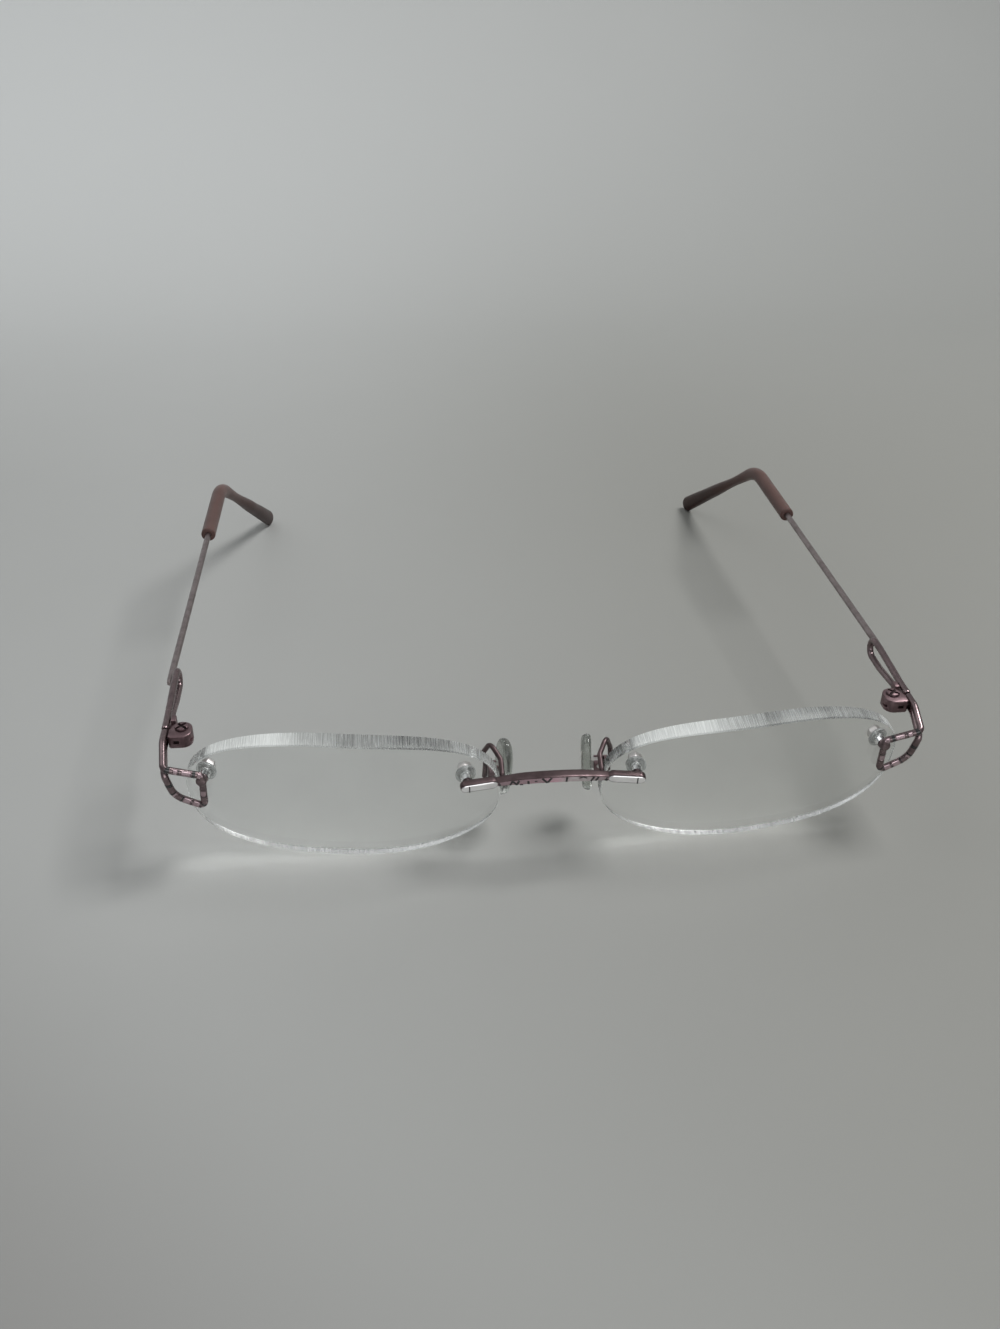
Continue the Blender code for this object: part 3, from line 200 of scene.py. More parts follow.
def window_point(out, up):
    """A point of the end piece's wire in the front's frame, from its stud."""
    stud = FRONT.inverted() @ TEMPORAL
    clear = (WIRE_RADIUS + SEAT_GAP) / stud.col[2].y
    depth = stud.translation.y - sag(LENS_FRONT_RADIUS, TEMPORAL_HOLE[1]) - clear
    return Vector((stud.translation.x + out, depth, stud.translation.z + up))


def pivot_frame():
    """The hinge axis in the glasses' own frame."""
    corner = FRONT @ window_point(WINDOW_WIDTH, CORNER_HEIGHT - STEM_SPREAD / 2)
    x = corner.x + STEM_FLARE - WIRE_OUT
    return shift(x, corner.y + STEM_LENGTH, corner.z + STEM_RISE)


PIVOT = pivot_frame()
fold = next(joint for joint in frame["joints"] if joint["name"] == "temple_fold_left")
tipped_by = math.atan2(-fold["axis"][1], fold["axis"][2])
TIPPED = turn(tipped_by, "X")
STAND = Matrix.Translation(Vector(fold["pos_m"]) - TIPPED @ PIVOT.translation) @ TIPPED
print("stands tipped by", round(math.degrees(tipped_by), 2), "degrees")

# %% [markdown]
# ## Ways to make a body
# Few shapes are needed for glasses: a round one turned on a lathe, a plate cut to an outline,
# a block, and a section carried along a path. Each has one helper here that returns a mesh.
# Holes and slots are cut with Booleans, and edges are broken with a bevel, as a file would.

# %% Bench helpers
MERGE = 0.0001 * MM
EDGE_ANGLE = math.radians(40.0)  # edges sharper than this are broken
ROUND_STEPS = 48


def on_bench(data):
    """An object in the scene for as long as it is worked on, with two empty material slots."""
    obj = bpy.data.objects.new("bench", data)
    while len(data.materials) < 2:
        data.materials.append(None)
    bpy.context.scene.collection.objects.link(obj)
    return obj


def baked(obj):
    """The object's mesh with its modifiers applied; the object itself goes."""
    bpy.context.view_layer.update()
    graph = bpy.context.evaluated_depsgraph_get()
    mesh = bpy.data.meshes.new_from_object(obj.evaluated_get(graph))
    bpy.data.objects.remove(obj, do_unlink=True)
    return mesh


def mesh_from(body, name):
    """The mesh of a body that was built face by face."""
    mesh = bpy.data.meshes.new(name)
    body.to_mesh(mesh)
    body.free()
    return mesh


def worked(mesh, tools, operation="DIFFERENCE"):
    """A mesh with Boolean tools used on it."""
    obj = on_bench(mesh)
    benches = [on_bench(tool) for tool in tools]
    for bench in benches:
        step = obj.modifiers.new("tool", "BOOLEAN")
        step.operation = operation
        step.solver = "EXACT"
        step.object = bench
    made = baked(obj)
    for bench in benches:
        bpy.data.objects.remove(bench, do_unlink=True)
    return made


def bevel(obj, width, segments=2):
    """Breaks the sharp edges of an object."""
    step = obj.modifiers.new("edges", "BEVEL")
    step.width = width
    step.segments = segments
    step.limit_method = "ANGLE"
    step.angle_limit = EDGE_ANGLE


def eased(mesh, width, segments=2):
    """A mesh with its sharp edges broken."""
    obj = on_bench(mesh)
    bevel(obj, width, segments)
    return baked(obj)


def moved(mesh, place):
    """The same mesh in another place."""
    mesh.transform(place)
    return mesh


def quarter(steps):
    """The angles that divide a right angle into equal steps, both ends included."""
    return [k * math.pi / 2 / steps for k in range(steps + 1)]


# %% Body helpers
def turned(profile, ring=False):
    """A body turned about Z, from (radius, height) points."""
    body = bmesh.new()
    points = [body.verts.new((radius, 0.0, height)) for radius, height in profile]
    for near, far in zip(points, points[1:]):
        body.edges.new((near, far))
    if ring:
        body.edges.new((points[-1], points[0]))
    obj = on_bench(mesh_from(body, "profile"))
    screw = obj.modifiers.new("turn", "SCREW")
    screw.steps = ROUND_STEPS
    screw.render_steps = ROUND_STEPS
    screw.use_merge_vertices = True
    screw.merge_threshold = MERGE
    return baked(obj)


def block(low, high):
    """A box between two opposite corners."""
    low = Vector(low)
    high = Vector(high)
    body = bmesh.new()
    place = Matrix.Translation((low + high) / 2) @ Matrix.Diagonal((*(high - low), 1.0))
    bmesh.ops.create_cube(body, size=1.0, matrix=place)
    return mesh_from(body, "block")


def rod(radius, low, high, steps=ROUND_STEPS):
    """A round bar about Z between two heights."""
    body = bmesh.new()
    middle = shift(0.0, 0.0, (low + high) / 2)
    bmesh.ops.create_cone(
        body, cap_ends=True, segments=steps, radius1=radius, radius2=radius,
        depth=high - low, matrix=middle,
    )
    return mesh_from(body, "rod")


def lofted(*stacks, second=None):
    """A body through each stack of rings. second says which faces take the second finish."""
    body = bmesh.new()
    for rings in stacks:
        loops = [[body.verts.new(point) for point in ring] for ring in rings]
        for row, (near, far) in enumerate(zip(loops, loops[1:])):
            for k in range(len(near)):
                face = body.faces.new((near[k - 1], near[k], far[k], far[k - 1]))
                if second and second(row, k):
                    face.material_index = 1
        body.faces.new(loops[0])
        body.faces.new(loops[-1])
    bmesh.ops.recalc_face_normals(body, faces=body.faces)
    return mesh_from(body, "loft")


def plate(outline, low, high):
    """A flat plate with an outline in X and Y, from one height to another."""
    return lofted([[Vector((x, y, z)) for x, y in outline] for z in (low, high)])


# %% Path helpers
BEND_STEP = math.radians(6.0)
BEND_ROOM = 0.49  # the share of a leg that one bend may take


def rounded_path(corners):
    """A path through pairs of a point and a bend radius, with an arc at each inner point."""
    points = [corners[0][0]]
    for before, (corner, radius), after in zip(corners, corners[1:], corners[2:]):
        into = corner - before[0]
        out = after[0] - corner
        room = BEND_ROOM * min(into.length, out.length)
        into.normalize()
        out.normalize()
        bend = into.angle(out)
        setback = min(radius * math.tan(bend / 2), room)
        radius = setback / math.tan(bend / 2)
        inward = (out - into * math.cos(bend)).normalized()
        start = corner - into * setback
        steps = max(1, math.ceil(bend / BEND_STEP))
        for k in range(steps + 1):
            angle = bend * k / steps
            along = into * radius * math.sin(angle)
            points.append(start + along + inward * radius * (1 - math.cos(angle)))
    points.append(corners[-1][0])
    return points


def subdivided(points, spacing):
    """The same path with points added, so that none lie further apart than the spacing."""
    finer = [points[0]]
    for near, far in zip(points, points[1:]):
        pieces = max(1, math.ceil((far - near).length / spacing))
        for k in range(1, pieces + 1):
            finer.append(near.lerp(far, k / pieces))
    return finer


def directions_of(points):
    """The direction of a path at each of its points."""
    found = []
    for k, point in enumerate(points):
        before = points[max(k - 1, 0)]
        after = points[min(k + 1, len(points) - 1)]
        found.append(((point - before).normalized() + (after - point).normalized()).normalized())
    return found


def distances_of(points):
    """How far along a path each of its points lies."""
    found = [0.0]
    for near, far in zip(points, points[1:]):
        found.append(found[-1] + (far - near).length)
    return found


def squared(angle, squareness):
    """The point of a unit superellipse at an angle, as a pair."""
    power = 2 / squareness
    cosine = math.cos(angle)
    sine = math.sin(angle)
    x = math.copysign(abs(cosine) ** power, cosine)
    y = math.copysign(abs(sine) ** power, sine)
    return x, y


def ring_points(centre, across, up, half_width, half_height, squareness, count):
    """A closed section about a centre, as a list of points."""
    ring = []
    for k in range(count):
        x, y = squared(2 * math.pi * (k + 0.5) / count, squareness)
        ring.append(centre + across * x * half_width + up * y * half_height)
    return ring


def ease(amount):
    """A smooth step from 0 to 1."""
    amount = min(max(amount, 0.0), 1.0)
    return amount * amount * (3 - 2 * amount)


# %% A wire along a path
WIRE_SIDES = 24
END_ROUNDING = 0.12 * MM
FLAT_HEIGHT = 0.78  # of a diamond-cut flat over the wire's middle, as a share of the radius


def wire(points, radius, cuts=(), facing=None, spacing=0.2 * MM):
    """A round wire along a path, with diamond-cut flats on the side that it faces.

    cuts holds the start and the end of each flat along the path. Without a facing the wire's
    top is carried along from ring to ring, so that it doesn't twist."""
    points = subdivided(points, spacing)
    directions = directions_of(points)
    distances = distances_of(points)
    total = distances[-1]
    toward = UP
    rings = []
    flats = []
    for centre, along, distance in zip(points, directions, distances):
        toward = facing or toward
        toward = (toward - along * toward.dot(along)).normalized()
        across = along.cross(toward)
        left = min(distance, total - distance)
        shrink = 1.0
        if left < END_ROUNDING:
            shrink = 1 - END_ROUNDING / radius * (1 - math.sqrt(1 - (1 - left / END_ROUNDING) ** 2))
        cut = any(start <= distance <= end for start, end in cuts)
        flats.append(cut)
        ring = []
        for k in range(WIRE_SIDES):
            angle = 2 * math.pi * k / WIRE_SIDES
            high = math.cos(angle)
            if cut:
                high = min(high, FLAT_HEIGHT)
            ring.append(centre + (toward * high + across * math.sin(angle)) * radius * shrink)
        rings.append(ring)

    def polished(row, k):
        middle = 2 * math.pi * (k - 0.5) / WIRE_SIDES
        return flats[row] and flats[row + 1] and math.cos(middle) > FLAT_HEIGHT

    return lofted(rings, second=polished)


# %% [markdown]
# ## Ways to make a finish
# A finish is a tree of nodes. Sums on node outputs would need a Math node for every plus and times,
# so a small class holds an output and turns plain sums on it into those nodes.
# Every other node comes from one method, which takes its type, its settings and its sockets.

# %% Dials and finishes
class Dial:
    """One output of a node, so that sums on it read as plain sums."""

    def __init__(self, finish, socket):
        self.finish = finish
        self.socket = socket

    def maths(self, operation, first, second):
        return self.finish.node("ShaderNodeMath", {"operation": operation}, {0: first, 1: second})

    def __add__(self, other):
        return self.maths("ADD", self, other)

    def __sub__(self, other):
        return self.maths("SUBTRACT", self, other)

    def __rsub__(self, other):
        return self.maths("SUBTRACT", other, self)

    def __mul__(self, other):
        return self.maths("MULTIPLY", self, other)

    def __lt__(self, other):
        return self.maths("LESS_THAN", self, other)


class Finish:
    """A material and the few nodes that its surface needs."""

    def __init__(self, name, **fixed):
        self.material = bpy.data.materials.new(name)
        self.material.use_nodes = True
        self.tree = self.material.node_tree
        self.shader = self.tree.nodes["Principled BSDF"]
        for socket, value in fixed.items():
            self.shader.inputs[socket.replace("_", " ")].default_value = value
        self.place = self.node("ShaderNodeTexCoord", output="Object")

    def node(self, kind, settings=None, sockets=None, output=0):
        """A node of a type, with its settings made first and its sockets fed after."""
        made = self.tree.nodes.new(kind)
        for name, value in (settings or {}).items():
            if name == "stops":
                marks = made.color_ramp.elements
                marks.remove(marks[1])
                marks[0].position, marks[0].color = value[0]
                for position, shade in value[1:]:
                    marks.new(position).color = shade
            else:
                setattr(made, name, value)
        for name, value in (sockets or {}).items():
            self.feed(made.inputs[name], value)
        return Dial(self, made.outputs[output])

    def feed(self, socket, value):
        """Sets a socket, or links a dial to it."""
        if isinstance(value, Dial):
            self.tree.links.new(value.socket, socket)
        else:
            socket.default_value = value

    def set(self, name, value):
        """Feeds one of the shader's sockets."""
        self.feed(self.shader.inputs[name], value)

    def coordinate(self, axis):
        """How far a point lies along X, Y or Z, given as 0, 1 or 2."""
        return self.node("ShaderNodeSeparateXYZ", {}, {"Vector": self.place}, output=axis)

    def fade(self, value, start, end, low=0.0, high=1.0, curve="LINEAR"):
        """Goes from low to high while a value goes from start to end."""
        return self.node(
            "ShaderNodeMapRange",
            {"interpolation_type": curve},
            {"Value": value, "From Min": start, "From Max": end, "To Min": low, "To Max": high},
        )

    def leaned(self, lean, stretch):
        """The piece's coordinates, turned about X and then scaled along each axis."""
        upright = self.node(
            "ShaderNodeMapping", {}, {"Vector": self.place, "Rotation": (-lean, 0.0, 0.0)}
        )
        return self.node("ShaderNodeMapping", {}, {"Vector": upright, "Scale": stretch})

    def noise(self, size, detail=3.0, stretch=(1.0, 1.0, 1.0), lean=0.0):
        """Soft random values; size is how big a blotch is, in metres."""
        return self.node(
            "ShaderNodeTexNoise",
            {},
            {"Vector": self.leaned(lean, stretch), "Scale": 1 / size, "Detail": detail},
        )

    def ramp(self, factor, low, high):
        """Stretches a narrow band of a factor to the whole of 0 to 1."""
        stops = [(low, (0.0, 0.0, 0.0, 1.0)), (high, (1.0, 1.0, 1.0, 1.0))]
        return self.node("ShaderNodeValToRGB", {"stops": stops}, {"Fac": factor})

    def mixed(self, factor, first, second):
        """One colour fading into another."""
        return self.node(
            "ShaderNodeMix", {"data_type": "RGBA"}, {0: factor, 6: first, 7: second}, output=2
        )

    def bump(self, height, strength, depth):
        """Relief from a height, fed to the shader's Normal."""
        relief = self.node(
            "ShaderNodeBump", {}, {"Height": height, "Strength": strength, "Distance": depth}
        )
        self.set("Normal", relief)


# %% [markdown]
# ## Metal
# The wires are plated in mauve. Plating is never one even colour: it is a little darker where
# it tarnished, rubbed pale on its edges, and its polish changes from place to place.
# Noise of two sizes gives these, and a fine bump stands for the pits and draw marks.
# The bridge's polished front goes from mauve to pink and nearly white along the arch: the mauve is
# the plating's own colour, and the bright pink and nearly white bands are a painted highlight, the
# reflection of the lights. So a finish may also take bands of colour, which a ramp spreads along X.

# %% Metal finishes
BLOTCH_SIZE = 1.6 * MM
PIT_DEPTH = 0.02 * MM
RUBBED_PALER = 2.2  # rubbed edges are this much paler than the shaded plating


def metal(name, colour, shade, rough, pits, pit_size, rubbed=0.35, metallic=1.0, bands=()):
    """Plated metal: two tones, rubbed edges, uneven polish and small pits.

    bands holds (x, colour) pairs for colour that changes across the glasses: the plating's own
    colour, with a painted highlight where the bands are brightest."""
    finish = Finish(name, Metallic=metallic)
    blotches = finish.noise(BLOTCH_SIZE)
    if bands:
        start, end = bands[0][0], bands[-1][0]
        stops = [((x - start) / (end - start), tone) for x, tone in bands]
        across = finish.fade(finish.coordinate(0), start, end)
        colour = finish.node("ShaderNodeValToRGB", {"stops": stops}, {"Fac": across})
    tones = finish.mixed(finish.ramp(blotches, 0.35, 0.7), colour, shade)
    edges = finish.node("ShaderNodeNewGeometry", output="Pointiness")
    pale = tuple(min(1.0, RUBBED_PALER * part) for part in shade[:3]) + (1.0,)
    worn = finish.ramp(edges, 0.52, 0.6) * rubbed
    finish.set("Base Color", finish.mixed(worn, tones, pale))
    grain = finish.noise(pit_size, detail=4.0)
    finish.set("Roughness", finish.ramp(blotches, 0.3, 0.8) * 0.12 + rough - 0.06)
    finish.bump(grain, pits, PIT_DEPTH)
    return finish.material


# each has its colour, the darker shade, and then the roughness, the pits' strength and their size
wire_finish = metal(
    "mauve wire", (0.265, 0.20, 0.207, 1.0), (0.16, 0.12, 0.125, 1.0), 0.3, 0.4, 0.12 * MM
)
temple_finish = metal(
    "greyed mauve wire", (0.33, 0.28, 0.28, 1.0), (0.22, 0.185, 0.185, 1.0), 0.36, 0.3, 0.12 * MM
)
matte_finish = metal(
    "matte brown", (0.135, 0.096, 0.10, 1.0), (0.085, 0.06, 0.062, 1.0), 0.42, 0.4, 0.09 * MM, 0.2
)
hinge_finish = metal(
    "cast mauve", (0.245, 0.17, 0.18, 1.0), (0.14, 0.093, 0.10, 1.0), 0.42, 1.0, 0.28 * MM, 0.2
)
polished_finish = metal(
    "polished mauve", (0.56, 0.43, 0.46, 1.0), (0.36, 0.27, 0.29, 1.0), 0.2, 0.15, 0.3 * MM
)
# painted highlight: the bright pink and nearly white bands stand for the lights' reflection on the
# polished front
arch_finish_with_painted_highlight = metal(
    "polished arch with painted highlight", None, (0.46, 0.34, 0.37, 1.0), 0.14, 0.1, 0.3 * MM, metallic=0.75, bands=(
        (-7 * MM, (0.45, 0.31, 0.35, 1.0)),
        (-1.5 * MM, (0.62, 0.40, 0.46, 1.0)),
        (0.5 * MM, (0.98, 0.62, 0.72, 1.0)),
        (2.2 * MM, (1.0, 0.93, 0.94, 1.0)),
        (4.5 * MM, (0.80, 0.76, 0.76, 1.0)),
        (8 * MM, (0.50, 0.42, 0.44, 1.0)),
    ),
)
silver_finish = metal(
    "polished silver", (0.97, 0.955, 0.955, 1.0), (0.80, 0.78, 0.78, 1.0), 0.2, 0.1, 0.3 * MM,
    metallic=0.6,
)
steel_finish = metal(
    "turned steel", (0.56, 0.54, 0.53, 1.0), (0.42, 0.40, 0.395, 1.0), 0.38, 0.3, 0.1 * MM
)
# painted shade: near black, for the screw slots, the hinge's recess and the bridge pads' lower edge
painted_shade_finish = metal(
    "painted shade in slots and under edges", (0.05, 0.038, 0.038, 1.0), (0.03, 0.022, 0.022, 1.0), 0.6, 0.4,
    0.1 * MM, 0.1,
)

# %% [markdown]
# ## Enamel
# Short black bars sit between the polished flats. They are a hard glossy paint,
# so the finish is nearly black, with a coat over it and a slight orange-peel surface.

# %% Enamel finish
def enamel():
    """Black paint with a clear gloss."""
    finish = Finish("black enamel", Coat_Weight=0.6, Coat_Roughness=0.08)
    cloud = finish.noise(0.6 * MM)
    finish.set("Base Color", finish.mixed(cloud, (0.006, 0.006, 0.007, 1), (0.02, 0.017, 0.018, 1)))
    finish.set("Roughness", cloud * 0.2 + 0.18)
    finish.bump(finish.noise(0.15 * MM), 0.2, 0.01 * MM)
    return finish.material


enamel_finish = enamel()

# %% [markdown]
# ## Clear plastics
# A lens is two polished faces and one ground edge, and only the edge is white.
# The faces get a nearly smooth glass finish with faint wipe marks in the roughness.
# The edge mixes frosted glass with white, with streaks across the rim from the edging wheel.
# It is painted whitest along the top where the light falls on it, and painted darker and glassier
# below and at both ends, the same way on both lenses; this whiteness is painted light and shade.
# Shadow rays pass through clear pieces in part, because clear glass throws only a faint shadow.

# %% Clear finishes
def clear(name, tint, index, rough, uneven, size, relief, shade_kept, clearness=1.0):
    """A clear material with an uneven polish, whose shadow keeps back a share of the light."""
    finish = Finish(name, Transmission_Weight=clearness, IOR=index)
    shadow_ray = finish.node("ShaderNodeLightPath", output="Is Shadow Ray")
    finish.set("Alpha", 1 - shadow_ray * (1 - shade_kept))
    cloud = finish.noise(size, detail=5.0)
    softer = finish.ramp(cloud, 0.45, 0.75)
    shade = tuple(0.95 * part for part in tint[:3]) + (1.0,)
    finish.set("Base Color", finish.mixed(softer, tint, shade))
    finish.set("Roughness", softer * uneven + rough)
    finish.bump(cloud, relief, 0.01 * MM)
    return finish.material


# %% The ground edge
STREAK_SIZE = 0.1 * MM
WAVE_SIZE = 6.0 * MM
# painted light: the edge is painted glassier near the ends of each lens and whiter higher above the
# table
CLEAR_END = 5.0 * MM  # from the end of a lens that lies to the wearer's right
CLEAR_FADE = 1.5 * MM
GLASSY_FROM = 15.0 * MM
GLASSY_TO = 26.0 * MM
WHITE_FROM = 6 * MM  # above the table
WHITE_TO = 14 * MM
EDGE_LIGHT_THROUGH = 0.65


def ground_edge():
    """The ground edge of a lens: white with fine streaks across the rim, with painted light and
    shade: whiter on top, darker below and glassier at its ends.
    """
    finish = Finish("ground lens edge", Transmission_Weight=1.0, IOR=1.5)
    lean = PANTOSCOPIC_ANGLE + tipped_by
    streaks = finish.noise(STREAK_SIZE, detail=2.0, stretch=(1.0, 0.02, 1.0), lean=lean)
    waves = finish.noise(WAVE_SIZE, detail=3.0, stretch=(1.0, 0.3, 1.0), lean=lean)
    finish.set("Roughness", finish.ramp(streaks, 0.3, 0.7) * 0.2 + 0.14)
    finish.bump(streaks, 0.3, 0.02 * MM)
    white = finish.node(
        "ShaderNodeBsdfDiffuse", {}, {"Color": (0.86, 0.88, 0.86, 1.0), "Roughness": 0.5}
    )
    # painted light: the white follows the place along each lens, the same way on both lenses, as
    # the light falls
    across = finish.coordinate(0)
    along = across - LENS_GAP / 2 + (across < 0.0) * (LENS_GAP + LENS_WIDTH)
    painted_shade_glassier = (
        finish.fade(along, GLASSY_FROM, GLASSY_TO, high=0.48)
        + finish.fade(along, CLEAR_END, CLEAR_END - CLEAR_FADE, high=0.6)
    )
    # painted light and shade: the edge is painted whiter towards the top, and its glass darker
    # below
    painted_light_above = finish.fade(finish.coordinate(2), WHITE_FROM, WHITE_TO, low=0.08)
    shadow_ray = finish.node("ShaderNodeLightPath", output="Is Shadow Ray")
    through = shadow_ray * EDGE_LIGHT_THROUGH
    finish.set("Alpha", 1 - through)
    glass = finish.mixed(streaks, (0.98, 1.0, 0.99, 1.0), (0.88, 0.91, 0.9, 1.0))
    # painted shade: the glass colour is painted darker low on the edge
    finish.set("Base Color", finish.mixed(painted_light_above, (0.66, 0.69, 0.68, 1.0), glass))
    tone = finish.ramp(streaks * 0.5 + waves * 0.5, 0.38, 0.62) * 0.26 + 0.62
    both = finish.node(
        "ShaderNodeMixShader",
        {},
        {
            0: (tone - painted_shade_glassier) * painted_light_above * (1 - through),
            1: Dial(finish, finish.shader.outputs[0]), 2: white,
        },
    )
    out = finish.tree.nodes["Material Output"]
    finish.feed(out.inputs["Surface"], both)
    return finish.material


lens_finish = clear(
    "clear lens", (0.985, 0.995, 0.99, 1.0), index=1.5, rough=0.0, uneven=0.02, size=9.0 * MM,
    relief=0.0, shade_kept=0.08,
)
edge_finish = ground_edge()
bushing_finish = clear(
    "clear bushing", (0.62, 0.64, 0.63, 1.0), index=1.46, rough=0.08, uneven=0.1, size=0.8 * MM,
    relief=0.1, shade_kept=0.4, clearness=0.75,
)
pad_finish = clear(
    "clear pad", (0.52, 0.545, 0.51, 1.0), index=1.42, rough=0.1, uneven=0.25, size=0.9 * MM,
    relief=0.6, shade_kept=0.6,
)

# %% [markdown]
# ## Tip plastic
# The tips are brown plastic, clear enough to look redder where they are thin, and darker
# towards the end that sits behind the ear. A gradient along the temple carries the darkening,
# a coat gives the gloss, and a little light goes under the surface.

# %% Tip finish
DARK_FROM = 37.0 * MM  # behind the middle of the glasses
DARK_TO = 57.0 * MM


def tip_plastic():
    """Brown plastic that darkens towards its end."""
    finish = Finish(
        "brown tip", Coat_Weight=0.04, Coat_Roughness=0.2, Subsurface_Weight=0.2,
        Subsurface_Scale=0.6 * MM, IOR=1.4, Specular_IOR_Level=0.15,
    )
    finish.shader.inputs["Subsurface Radius"].default_value = (1.0, 0.45, 0.35)
    darker = finish.fade(finish.coordinate(1), DARK_FROM, DARK_TO)
    cloud = finish.noise(3.0 * MM, detail=4.0)
    brown = finish.mixed(cloud, (0.126, 0.076, 0.068, 1.0), (0.088, 0.053, 0.048, 1.0))
    finish.set("Base Color", finish.mixed(darker, brown, (0.034, 0.015, 0.013, 1.0)))
    finish.set("Roughness", cloud * 0.15 + 0.24)
    finish.bump(finish.noise(0.5 * MM), 0.15, 0.02 * MM)
    return finish.material


tip_finish = tip_plastic()
print(len(bpy.data.materials), "finishes")

# %% [markdown]
# ## Putting a piece in place
# Every new piece goes through one helper. It mirrors the mesh for the right side, shades it
# smooth with its real edges kept sharp, sets it in its frame, and lets it ride on its body.
# It also names the solid that the piece stands for, so that the plain one isn't shown.
# Names end in the side, as those of the solids do, and pieces of the middle have no ending.
# The mesh itself is moved and the object stays at the origin, so that every box is measured square
# to the axes.

# %% Add a piece
SHARP = math.radians(38.0)


def add(name, solid, mesh, place, side, body, finishes, sharp=SHARP):
    """A piece of the glasses, modelled for the left side, that stands for a solid or for none."""
    ending = "" if side == "middle" else f"_{side}"
    stands_for = [solid + ending] if solid else []
    mesh = mesh.copy()
    mesh.transform(STAND @ place)
    if side == "right":
        mesh.transform(MIRROR)
        mesh.flip_normals()
    chosen = [min(face.material_index, len(finishes) - 1) for face in mesh.polygons]
    mesh.materials.clear()
    for finish in finishes:
        mesh.materials.append(finish)
    mesh.polygons.foreach_set("material_index", chosen)
    mesh.shade_smooth()
    mesh.set_sharp_from_angle(angle=sharp)
    piece = bpy.data.objects.new(name + ending, mesh)
    mesh.name = piece.name
    bpy.context.scene.collection.objects.link(piece)
    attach(piece, body)
    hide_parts(*stands_for)


# %% [markdown]
# ## The lenses
# Each lens is cut from a blank with a steep front and a flatter back, edged to its outline and
# drilled twice. The faces here are rings of the outline laid on two spheres, so the outline and
# both curves are exact, and the light bends smoothly. Between the faces runs the ground edge,
# with a narrow safety bevel along each rim that catches the light.
# The edge is whiter than a clear body would be, so it takes a finish of its own.

# %% Lens outline and faces
RIM_POINTS = 256
FACE_RINGS = 14
RIM_BEVEL = 0.2 * MM
RIM_SHARP = math.radians(25.0)
HOLE_RADIUS = STUD_RADIUS + 2 * RUNNING_GAP + SLEEVE_WALL
DRILL_REACH = 4.0 * MM


def rim_points():
    """The lens's rim in its own X and Z, wider than an ellipse and a little skewed."""
    points = []
    for k in range(RIM_POINTS):
        angle = 2 * math.pi * (k + 0.5) / RIM_POINTS
        polar = math.atan2(math.sin(angle) * LENS_HEIGHT, math.cos(angle) * LENS_WIDTH)
        wide = abs(2 * math.cos(polar) / LENS_WIDTH) ** LENS_SQUARENESS
        high = abs(2 * math.sin(polar) / LENS_HEIGHT) ** LENS_SQUARENESS
        reach = (wide + high) ** (-1 / LENS_SQUARENESS)
        reach *= 1 + LENS_CORNER_SWEEP * math.sin(2 * polar)
        points.append(Vector((reach * math.cos(polar), reach * math.sin(polar))))
    return points


def front_depth(point):
    """How deep the front face lies at a point of the lens."""
    return sag(LENS_FRONT_RADIUS, point.length)


def back_depth(point):
    """How deep the back face lies at a point of the lens."""
    return LENS_THICKNESS + sag(LENS_BACK_RADIUS, point.length)


def lens_mesh():
    """A lens with its two faces, its ground edge and its two holes."""
    rim = rim_points()
    inner = [point * (1 - RIM_BEVEL / point.length) for point in rim]
    rings = []
    for k in range(1, FACE_RINGS + 1):
        share = math.sqrt(k / FACE_RINGS)
        rings.append([Vector((p.x * share, front_depth(p * share), p.y * share)) for p in inner])
    rings.append([Vector((p.x, front_depth(p) + RIM_BEVEL, p.y)) for p in rim])
    rings.append([Vector((p.x, back_depth(p) - RIM_BEVEL, p.y)) for p in rim])
    for k in range(FACE_RINGS, 0, -1):
        share = math.sqrt(k / FACE_RINGS)
        rings.append([Vector((p.x * share, back_depth(p * share), p.y * share)) for p in inner])
    edge_rows = (FACE_RINGS - 1, FACE_RINGS, FACE_RINGS + 1)
    blank = lofted(rings, second=lambda row, k: row in edge_rows)
    drill = rod(HOLE_RADIUS, -DRILL_REACH, 2 * DRILL_REACH)
    tools = [moved(drill.copy(), LENS.inverted() @ stud) for stud in STUDS.values()]
    return worked(blank, tools)


# %% Both lenses
lens = lens_mesh()
for side in SIDES:
    add(
        "clear_lens", "lens", lens, LENS, side, "front", (lens_finish, edge_finish),
        sharp=RIM_SHARP,
    )
print("lens mesh has", len(lens.polygons), "faces")

# %% [markdown]
# ## Bushings, washers and nuts
# A stud goes through each hole in a clear sleeve, and behind the lens come a clear flange,
# a metal washer and a small nut. All are turned or sawn from bar, so they are lathe profiles,
# with their edges broken so that each one catches a thin line of light.

# %% Seats along a stud
FLANGE_THICKNESS = 0.4 * MM
SLEEVE_RECESS = 0.35 * MM
SLEEVE_RADIUS = STUD_RADIUS + RUNNING_GAP + SLEEVE_WALL
WASHER_RADIUS = 1.3 * MM
WASHER_THICKNESS = 0.25 * MM
NUT_RADIUS = 1.2 * MM
NUT_HEIGHT = 1.0 * MM
STUD_OVERHANG = 0.25 * MM
SEAT_STEPS = 16


def surface_depths(stud, vertex, radius, reach):
    """How deep along a stud a lens surface lies, round a circle about the stud."""
    centre = stud.inverted() @ LENS @ Vector((0.0, vertex + radius, 0.0))
    depths = []
    for k in range(SEAT_STEPS):
        angle = 2 * math.pi * k / SEAT_STEPS
        x = reach * math.cos(angle) - centre.x
        y = reach * math.sin(angle) - centre.y
        depths.append(centre.z - math.sqrt(radius**2 - x**2 - y**2))
    return depths


def flange_seat(stud):
    """Where a bushing's flange sits behind the lens, along its stud."""
    return max(surface_depths(stud, LENS_THICKNESS, LENS_BACK_RADIUS, FLANGE_RADIUS)) + SEAT_GAP


